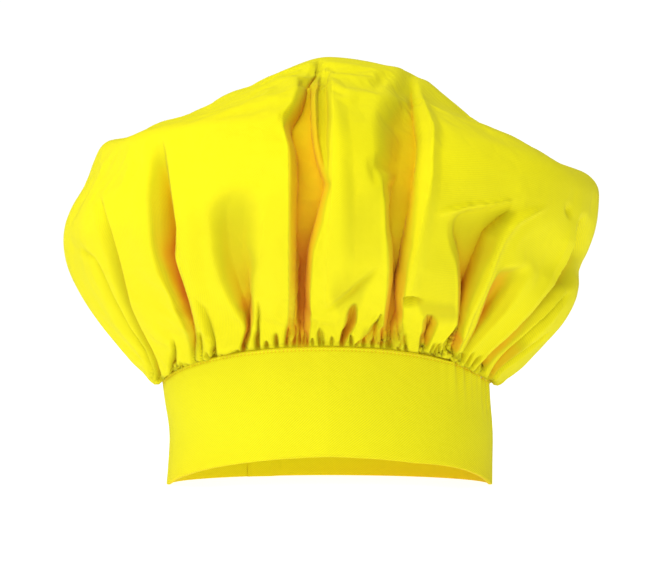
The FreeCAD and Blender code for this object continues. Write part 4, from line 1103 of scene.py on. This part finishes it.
def band_mesh():
    start, end = TAB_ROOT, 360 + UNDERLAP_END + 13.5
    count = 1500
    deg = np.linspace(start, end, count)
    inward, share, rise = band_section()
    angle = deg[:, None] + 0 * inward
    z = LEVEL
    for _ in range(2):  # the edges' heights depend on y, and y a little on the height
        y = ring(angle, z)[1]
        bottom, top = z_bottom(y), z_top(y)
        z = bottom + (top - bottom) * share + rise
    x, y = ring(angle, z)
    below_top = top - z
    outer = (inward < 0.05)[None, :] * 1.0
    ends = smooth(start, start + 1.5, angle) * (1 - smooth(end - 15, end - 12, angle))

    # wrinkles, and pulls that run down from the top edge, strongest at the front right
    arc = np.radians(angle) * WEAVE_RADIUS
    wrinkle = (0.28 * wave_noise(arc / 34, z / 40, seed=21)
               + 0.12 * wave_noise(arc / 12, z / 18, seed=22))
    at_right = smooth(62, 84, x) * (y < 0)
    pull = np.exp(-(below_top / 8.0)) * 0.09 * wave_noise(arc / 1.9, z / 40, seed=23, count=8)
    right_pull = wave_noise(arc / 1.35, z / 60, seed=26, count=6)
    pull = pull + np.exp(-(below_top / 19.0) ** 2) * 0.85 * at_right * right_pull
    # each stitch pulls the cloth in along the row, and most where the thread goes through
    run = ring_run(deg, STITCH_LEVEL)[:, None]
    hole = 0.5 + 0.5 * np.cos(2 * math.pi * run / STITCH_PITCH)
    row = np.exp(-((below_top - STITCH_INSET) / 0.55) ** 2)
    stitch_line = 0.16 * np.exp(-((below_top - STITCH_INSET) / 0.8) ** 2) + 0.22 * row * hole ** 3
    ridge = -0.9 * np.exp(-np.abs(x + 1.0) / 16.0) * (y < 0)  # at the middle of the front
    dents = np.minimum(wrinkle + pull, 0.42) * ends + ridge * ends + stitch_line

    # the underlap slides inside the tab's root, and its trimmed end lies flat
    tuck = (3.3 * smooth(360 + 107.6, 360 + 113.8, angle)
            - 0.26 * smooth(360 + 114.0, 360 + 121.0, angle))
    thin = 1 - 0.93 * smooth(360 + 112.5, 360 + 121.8, angle)
    offset = inward[None, :] * thin + tuck + dents * outer + (1 - outer) * 0.4 * wrinkle * ends
    band_x, band_y = ring(angle, z, offset)

    lump = (0.5 * smooth(60, 105, x) * (y < 0) * wave_noise(arc / 8, 0 * arc, seed=24)
            + 0.16 * wave_noise(arc / 22, 0 * arc, seed=25))
    z = z + lump * share[None, :] ** 3 * ends
    # the bottom edge isn't quite even: height change by x along the front
    dip = np.interp(x, (-107, -100, -93, -47, 0, 54, 78, 88, 98, 107),
                    (0, -0.6, -1.0, -0.9, -0.2, -1.2, 0.3, 0.5, 0.4, 0))
    dipped = z + dip * smooth(0, 26, -y) * (1 - share[None, :]) ** 1.5
    z = np.maximum(dipped, np.minimum(z, 0.0))

    verts = np.stack([band_x, band_y, z], 2).reshape(-1, 3)
    size = len(inward)
    faces = [grid_faces(count, size, wrap_v=True), end_caps(count, size, 0, flip_first=True)]
    steps = np.hypot(np.diff(inward), np.diff(BAND_HEIGHT * share + rise))
    across = np.concatenate([[0], np.cumsum(steps)])
    uv = uv_pairs(ring_run(deg, 40.0)[:, None], across[None, :])
    # painted shade: darker along the top edge, in the dents and in the stitch holes
    fold = outer * (0.10 * np.exp(-(below_top / 1.0) ** 2) + 0.05 * np.clip(dents, 0, 1)
                    + 0.55 * row * hole ** 3)
    # painted shade on the inner face, deeper towards +x
    inside = smooth(1.4, 2.4, inward)[None, :] * (0.10 + 0.22 * smooth(-60, 100, x))
    return verts, faces, uv, {"fold": np.clip(fold + inside, 0, 1).reshape(-1)}


band = mesh_object("headband_cloth", *band_mesh(), band_mat)
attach(band, "hat")
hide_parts("headband")


# ------------------------------------------------------------------ closure tab
def tab_section():
    """Section rows: share from outer to inner face, share of the height, mm above that."""
    side = [(0.0, -1.1), (0.05, -0.45), (0.22, -0.10)]
    rows = [(0.5, 1, 0)] + [(depth, 1, rise) for depth, rise in side[::-1]]
    rows += [(0, 1 - k / 30, -1.1 + 2.2 * k / 30) for k in range(1, 30)]
    rows += [(depth, 0, -rise) for depth, rise in side] + [(0.5, 0, 0)]
    rows += [(1 - depth, 0, -rise) for depth, rise in side[::-1]]
    rows += [(1, k / 14, 1.1 - 2.2 * k / 14) for k in range(1, 14)]
    rows += [(1 - depth, 1, rise) for depth, rise in side]
    return np.array(rows, float).T


def tab_mesh():
    count, corner = 150, 3.0
    deg = np.linspace(TAB_ROOT - 0.02, TAB_END, count)
    # the tab jogs outward from the band's end to lie over the underlap
    jog = smooth(TAB_JOG_END, TAB_ROOT - 0.8, deg)
    out_face = TAB_OUT * (1 - jog)
    in_face = TAB_IN + (1.0 - TAB_IN) * jog
    across, share, rise = tab_section()
    # rounded corners at the free end
    run = np.radians(deg - TAB_END) * 106.0
    curve = ((corner - np.clip(run, 0, corner)) / corner) ** 2
    pinch = 1.0 - np.sqrt(np.clip(1 - curve, 0, 1))
    bottom = (TAB_BOTTOM + corner * pinch)[:, None]
    top = (TAB_TOP - corner * pinch)[:, None]
    angle = deg[:, None] + 0 * across[None, :]
    half = (in_face - out_face) / 2 * np.clip(run / 0.5, 0.25, 1)
    inward = ((out_face + in_face) / 2)[:, None] + (across[None, :] * 2 - 1) * half[:, None]
    z = bottom + (top - bottom) * share[None, :] + rise

    outer = (across < 0.01)[None, :]
    arc = np.radians(angle) * WEAVE_RADIUS
    wrinkle = (0.12 * wave_noise(arc / 14, z / 16, seed=31)
               * smooth(1, 6, np.abs(angle - TAB_ROOT)))
    below_top, above_bottom, from_end = top - z, z - bottom, run[:, None]
    line = (0.14 * np.exp(-((below_top - STITCH_INSET) / 0.6) ** 2)
            + 0.14 * np.exp(-((from_end - 2.4) / 0.6) ** 2))
    bulge = (-0.18 * smooth(0, 6, np.minimum(below_top, above_bottom)) * smooth(0, 6, from_end))
    x, y = ring(angle, LEVEL, inward + (wrinkle + line + bulge) * outer)

    verts = np.stack([x, y, z], 2).reshape(-1, 3)
    size = len(across)
    faces = [grid_faces(count, size, wrap_v=True, flip=True),
             end_caps(count, size, 1, flip_first=False)]
    # painted shade along the stitch lines and on the inner face and edges
    fold = np.clip(0.15 * line / 0.14 * outer * 0.3 + (~outer) * 0.12, 0, 1)
    return verts, faces, uv_pairs(arc, z), {"fold": fold.reshape(-1)}


tab = mesh_object("closure_tab_cloth", *tab_mesh(), band_mat)
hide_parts("closure_tab_cover")
root_x, root_y = ring(TAB_ROOT, LEVEL)
bend_x, bend_y = ring(TAB_ROOT - 3.4, LEVEL, -0.6)
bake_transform(tab)


# ------------------------------------------------------------------ stitches
def stitches(name, centres, along, out, length, radius, rise=0.13):
    """Thread loops that rise out of the cloth at their middles and dip in at their ends."""
    along = along / np.linalg.norm(along, axis=1, keepdims=True)
    out = out / np.linalg.norm(out, axis=1, keepdims=True)
    side = np.cross(along, out)
    sections, sides, sink = 9, 6, 0.10
    s = np.linspace(-1, 1, sections)
    height = rise * (1 - np.abs(s) ** 3) - (sink + rise) * np.abs(s) ** 6
    line = (centres[:, None] + along[:, None] * (s * length / 2)[None, :, None]
            + out[:, None] * height[None, :, None])
    thickness = radius * np.sqrt(np.clip(1.02 - np.abs(s) ** 5, 0.05, 1))
    angle = (np.arange(sides) * 2 * math.pi / sides)[None, None, :, None]
    spoke = np.cos(angle) * out[:, None, None] + np.sin(angle) * side[:, None, None]
    verts = line[:, :, None] + spoke * thickness[None, :, None, None]
    first = np.arange(sides)[None]
    last = (sections - 1) * sides + first[:, ::-1]
    count, size = len(centres), sections * sides
    caps = np.concatenate([copies(first, count, size), copies(last, count, size)])
    quads = copies(grid_faces(sections, sides, wrap_v=True), count, size)
    ob = mesh_object(name, verts.reshape(-1, 3), [quads, caps], mat=thread_mat)
    return ob


def ring_row(start, end, height_at, inward, pitch):
    """Centres, directions and outward normals of stitches along the ring."""
    deg = np.linspace(start, end, 4000)
    z = height_at(ring(deg, STITCH_LEVEL)[1])
    x, y = ring(deg, z, inward)
    path = np.stack([x, y, z], 1)
    run = np.concatenate([[0], np.cumsum(np.linalg.norm(np.diff(path, axis=0), axis=1))])
    at = np.arange(pitch / 2, run[-1], pitch)
    before, centres, after = [
        np.stack([np.interp(at + step, run, path[:, k]) for k in range(3)], 1)
        for step in (-0.2, 0, 0.2)]
    deg, z = np.interp(at, run, deg), np.interp(at, run, z)
    x, y = ring(deg, z)
    out_x, out_y = ring(deg, z, -1.0)
    return centres, after - before, np.stack([out_x - x, out_y - y, 0 * x], 1)


def upright_row(deg, heights, inward):
    """The same for stitches one above another."""
    x, y = ring(deg, LEVEL, inward)
    out_x, out_y = ring(deg, LEVEL, inward - 1.0)
    count = len(heights)
    return (np.stack([0 * heights + x, 0 * heights + y, heights], 1), np.tile(UP, (count, 1)),
            np.tile([out_x - x, out_y - y, 0.0], (count, 1)))


def joined(rows):
    return [np.concatenate(parts) for parts in zip(*rows)]


def tab_rows():
    """One row along the tab's top edge and one up its free end."""
    inward = TAB_OUT + 0.06
    heights = np.arange(TAB_BOTTOM + 3.0, TAB_TOP - 3.0, STITCH_PITCH)
    return joined([
        ring_row(TAB_END + 1.5, TAB_JOG_END - 0.4, lambda y: 0 * y + TAB_TOP - STITCH_INSET,
                 inward, STITCH_PITCH),
        upright_row(TAB_END + 1.3, heights, inward)])


def tape_rows(start, end, inward):
    """A rectangle of stitches inside a tape's edge."""
    inset = STITCH_INSET / MM_PER_DEGREE
    low, high = TAPE_BOTTOM + STITCH_INSET, TAPE_TOP - STITCH_INSET
    rows = [ring_row(start + inset, end - inset, lambda y, z=z: 0 * y + z, inward,
                     TAPE_STITCH_PITCH) for z in (low, high)]
    heights = np.arange(low + 1.2, high - 0.6, TAPE_STITCH_PITCH)
    rows += [upright_row(deg, heights, inward) for deg in (start + inset, end - inset)]
    return joined(rows)


edge_row = ring_row(TAB_ROOT, 360 + TAB_END, lambda y: z_top(y) - STITCH_INSET, 0.12,
                    STITCH_PITCH)
top_row = stitches("band_edge_stitches", *edge_row, length=1.9, radius=0.21, rise=0.2)
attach(top_row, "hat")
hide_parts("band_topstitching")

tab_row = stitches("tab_edge_stitches", *tab_rows(), length=2.05, radius=0.17)
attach(tab_row, "closure_tab")
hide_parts("closure_tab_topstitching")

hook_row = stitches("hook_tape_thread", *tape_rows(HOOK_START, HOOK_END, TAB_OUT),
                    length=1.95, radius=0.16, rise=0.22)
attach(hook_row, "closure_tab")
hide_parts("hook_tape_stitches")

# these show on the band's inner face, so they rise inward
centres, along, out = tape_rows(LOOP_START, LOOP_END, 2.72)
loop_row = stitches("loop_tape_thread", centres, along, -out, length=1.95, radius=0.16)
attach(loop_row, "hat")
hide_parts("loop_tape_stitches")


# ------------------------------------------------------------------ hook and loop tapes
def tape_plate(start, end, face, back, columns, rows, roughness, seed):
    """Curved tape with a thinner edge. face and back are inward distances."""
    angle, z = np.meshgrid(np.linspace(start, end, columns),
                           np.linspace(TAPE_BOTTOM, TAPE_TOP, rows), indexing="ij")
    from_end = np.minimum(angle - start, end - angle) * MM_PER_DEGREE
    from_side = np.minimum(z - TAPE_BOTTOM, TAPE_TOP - z)
    inner = smooth(0.6, 1.6, np.minimum(from_end, from_side))
    sign = 1.0 if face > back else -1.0
    rough = np.random.default_rng(seed).uniform(0, 1, angle.shape) * roughness
    surface = face - sign * (0.30 * (1 - inner)) - sign * rough * inner
    verts = np.concatenate([
        np.stack([*ring(angle, LEVEL, inward), z], 2).reshape(-1, 3)
        for inward in (surface, back)])
    size = columns * rows
    pairs = []
    for i in range(0, size - rows, rows):
        pairs += [(i, i + rows), (i + 2 * rows - 1, i + rows - 1)]
    for j in range(rows - 1):
        pairs += [(j + 1, j), (size - rows + j, size - rows + j + 1)]
    edge = np.array([(p, p + size, q + size, q) for p, q in pairs])
    return verts, [grid_faces(columns, rows), grid_faces(columns, rows, flip=True) + size, edge]


def hooks():
    """Rows of small bent hooks on the tab's tape."""
    degs = np.arange(76.3, 100.9, 0.72)
    heights = np.arange(TAPE_BOTTOM + 3.4, TAPE_TOP - 3.2, 1.25)
    angle, z = np.meshgrid(degs, heights, indexing="ij")
    z = (z + (np.arange(len(degs)) % 2)[:, None] * 0.6).ravel()
    angle = angle.ravel()
    x, y = ring(angle, LEVEL, -1.5)
    in_x, in_y = ring(angle, LEVEL, -0.5)
    inward = np.stack([in_x - x, in_y - y, 0 * x], 1)
    along = np.stack([-(in_y - y), in_x - x, 0 * x], 1)
    base = np.stack([x, y, z], 1)
    # path of a hook: inward distance, rise
    path = [(0.0, 0.0), (0.22, 0.0), (0.36, 0.08), (0.40, 0.20), (0.32, 0.30)]
    sides, radius = 4, 0.09
    turn = (np.arange(sides) * 2 * math.pi / sides)[None, :, None]
    verts = []
    for reach, rise in path:
        up_share, in_share = (0.6, 0.0) if reach < 0.3 else (0.2, 0.8)
        spoke = (np.cos(turn) * along[:, None] + np.sin(turn) * UP * up_share
                 + np.sin(turn) * inward[:, None] * in_share)
        verts.append((base + inward * reach + UP * rise)[:, None] + spoke * radius)
    count, size = len(base), len(path) * sides
    quads = copies(grid_faces(len(path), sides, wrap_v=True), count, size)
    tips = copies(size - sides + np.arange(sides)[None], count, size)
    return np.stack(verts, 1).reshape(-1, 3), [quads, tips]


loop_plate = tape_plate(LOOP_START, LOOP_END, face=-1.0, back=0.3, columns=170, rows=56,
                        roughness=0.28, seed=3)
loop_tape = fix_normals(mesh_object("loop_tape_pile", *loop_plate, mat=loop_mat))
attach(loop_tape, "hat")
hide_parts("loop_tape")

hook_plate = tape_plate(HOOK_START, HOOK_END, face=-1.45, back=-2.3, columns=110, rows=50,
                        roughness=0.05, seed=4)
hook_tape = fix_normals(mesh_object("hook_tape_base", *hook_plate, mat=hook_mat))
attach(hook_tape, "closure_tab")
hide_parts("hook_tape")

hook_field = fix_normals(mesh_object("hook_tape_hooks", *hooks(), mat=hook_mat))
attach(hook_field, "closure_tab")

# ------------------------------------------------------------------ care label
LABEL_DEG, LABEL_TOP, LABEL_DROP, LABEL_HALF = 140.0, 63.0, 35.2, 12.5
label_x, label_y = ring(LABEL_DEG, 50.0, 4.6)
deeper_x, deeper_y = ring(LABEL_DEG, 50.0, 5.6)
label_top = np.array([label_x, label_y, LABEL_TOP])
label_in = np.array([deeper_x - label_x, deeper_y - label_y, 0.0])
label_in /= np.linalg.norm(label_in)
label_along = np.cross(UP, label_in)


def label_mesh():
    """Folded ribbon: two layers joined by a soft fold at the bottom, a little curled."""
    columns = 40
    shares = np.arange(30) / 29
    # inward distance and rise: down the inner layer, round the fold and up the outer layer
    profile = [(0.72 - 0.05 * s, -s * LABEL_DROP) for s in shares]
    profile += [(0.40 + 0.32 * math.cos(b), -LABEL_DROP - 0.7 * math.sin(b))
                for b in (math.pi * k / 8 for k in range(1, 8))]
    profile += [(0.08 + 0.05 * (1 - s), -s * LABEL_DROP) for s in 1 - shares]
    # the outer layer's offset grows upward with 1 - s
    profile = np.array(profile)
    profile[-30:, 0] = 0.08 + 0.05 * (1 - shares)[::1]
    for k in range(30):
        profile[-30 + k, 0] = 0.08 + 0.05 * (1 - shares[k])
    u = np.linspace(-LABEL_HALF, LABEL_HALF, columns)
    curl = (0.9 * smooth(8, 34, -profile[:, 1])[None, :]
            * (0.35 + 0.65 * (u[:, None] / LABEL_HALF) ** 2))
    verts = (label_top + label_along * u[:, None, None]
             + label_in * (profile[None, :, 0] + curl)[..., None]
             + UP * profile[None, :, 1, None])
    steps = np.linalg.norm(np.diff(profile, axis=0), axis=1)
    run = np.concatenate([[0], np.cumsum(steps)])
    faces = grid_faces(columns, len(profile))
    return verts.reshape(-1, 3), faces, uv_pairs(u[:, None], run[None, :])


label = mesh_object("care_label_ribbon", *label_mesh(), mat=label_mat)
ribbon_solid = label.modifiers.new("thickness", "SOLIDIFY")
ribbon_solid.thickness = 0.16 * MM
ribbon_solid.offset = 0
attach(label, "label")
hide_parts("care_label")

places = (np.arange(9) - 4) * 2.6
centres = label_top + label_along * places[:, None] - UP * 0.8 + label_in * 0.86
label_row = stitches("care_label_thread", centres, np.tile(label_along, (9, 1)),
                     np.tile(label_in, (9, 1)), length=2.0, radius=0.16)
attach(label_row, "label")
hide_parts("care_label_stitches")

# ------------------------------------------------------------------ stiffeners kept from the CAD
for name in ("band_interfacing", "closure_tab_interfacing"):
    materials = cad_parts[name].data.materials
    materials.clear()
    materials.append(interfacing_mat)


# ------------------------------------------------------------------ stage, light, camera
def floor_material():
    """Pale floor that glows a little and can't be seen from underneath."""
    material, g = new_material("studio_floor")
    greys = [(0.0, (0.50, 0.50, 0.50, 1)), (1.0, (0.54, 0.54, 0.54, 1))]
    seen = g.node("LightPath").outputs["Is Camera Ray"]
    top = g.principled({
        "Base Color": g.ramp(g.noise(g.object_place(), scale=3.0), greys), "Roughness": 0.9,
        "Specular IOR Level": 0.1, "Emission Color": (1, 1, 1, 1),
        "Emission Strength": g.add(0.75, g.mul(seen, 0.17))})
    clear = g.node("BsdfTransparent").outputs[0]
    underside = g.node("NewGeometry").outputs["Backfacing"]
    g.node("OutputMaterial", {0: g.node("MixShader", {0: underside, 1: top, 2: clear}).outputs[0]})
    return material


def make_floor():
    side = np.linspace(-12000, 12000, 9)
    verts = np.stack(np.broadcast_arrays(side[:, None], side[None, :], 0.0), 2).reshape(-1, 3)
    floor = mesh_object("studio_floor", verts, grid_faces(9, 9), mat=floor_material())
    floor.visible_glossy = False


def make_world():
    """White surroundings: bright to the camera, dim as light, nearly gone in reflections."""
    world = bpy.data.worlds.new("studio")
    scene.world = world
    world.use_nodes = True
    background = world.node_tree.nodes["Background"]
    g = Net(world.node_tree)
    seen = g.node("LightPath").outputs["Is Camera Ray"]
    mirrored = g.node("LightPath").outputs["Is Glossy Ray"]
    g.put(background.inputs[0], (1.0, 1.0, 1.0, 1))
    g.put(background.inputs[1], g.sub(g.add(0.33, g.mul(seen, 0.72)), g.mul(mirrored, 0.30)))


def area(name, place, target, size, power, gloss=False):
    """Rectangular light. Places and sizes are metres, power is watts."""
    light = bpy.data.lights.new(name, "AREA")
    light.shape = "RECTANGLE"
    light.size, light.size_y = size
    light.energy = power
    ob = bpy.data.objects.new(name, light)
    scene.collection.objects.link(ob)
    ob.location = place
    ob.visible_glossy = gloss
    ob.rotation_mode = "QUATERNION"
    ob.rotation_quaternion = (Vector(target) - Vector(place)).to_track_quat("-Z", "Y")
    return ob


def make_camera():
    lens = bpy.data.cameras.new("camera")
    lens.sensor_width = 36.0
    lens.lens = 36.0 * EYE_DISTANCE / VIEW_WIDTH
    camera = bpy.data.objects.new("camera", lens)
    scene.collection.objects.link(camera)
    camera.location = (EYE_X * MM, -EYE_DISTANCE * MM, EYE_Z * MM)
    camera.rotation_euler = (math.radians(90), 0, 0)
    scene.camera = camera


make_floor()
make_world()
area("key", (-1.6, -1.3, 1.1), target=(0, 0, 0.15), size=(0.8, 0.8), power=12.4, gloss=True)
area("front", (-0.15, -2.1, 0.28), target=(0, 0, 0.10), size=(0.9, 0.7), power=3.7)
area("top", (-0.6, -0.9, 2.2), target=(0, 0, 0.2), size=(1.2, 1.2), power=29.0)
area("side", (1.5, -1.1, 0.10), target=(0, 0, 0.03), size=(0.9, 0.3), power=2.3)
# stands in for the light that comes through the cloth to the inside of the band
inner_light = area("inner", (0, -0.055, 0.010), target=(0, 0.08, 0.022), size=(0.12, 0.008),
                   power=0.035)
inner_light.visible_camera = False
make_camera()
scene.view_settings.view_transform = "Standard"
scene.view_settings.look = "None"
scene.view_settings.exposure = 0.0
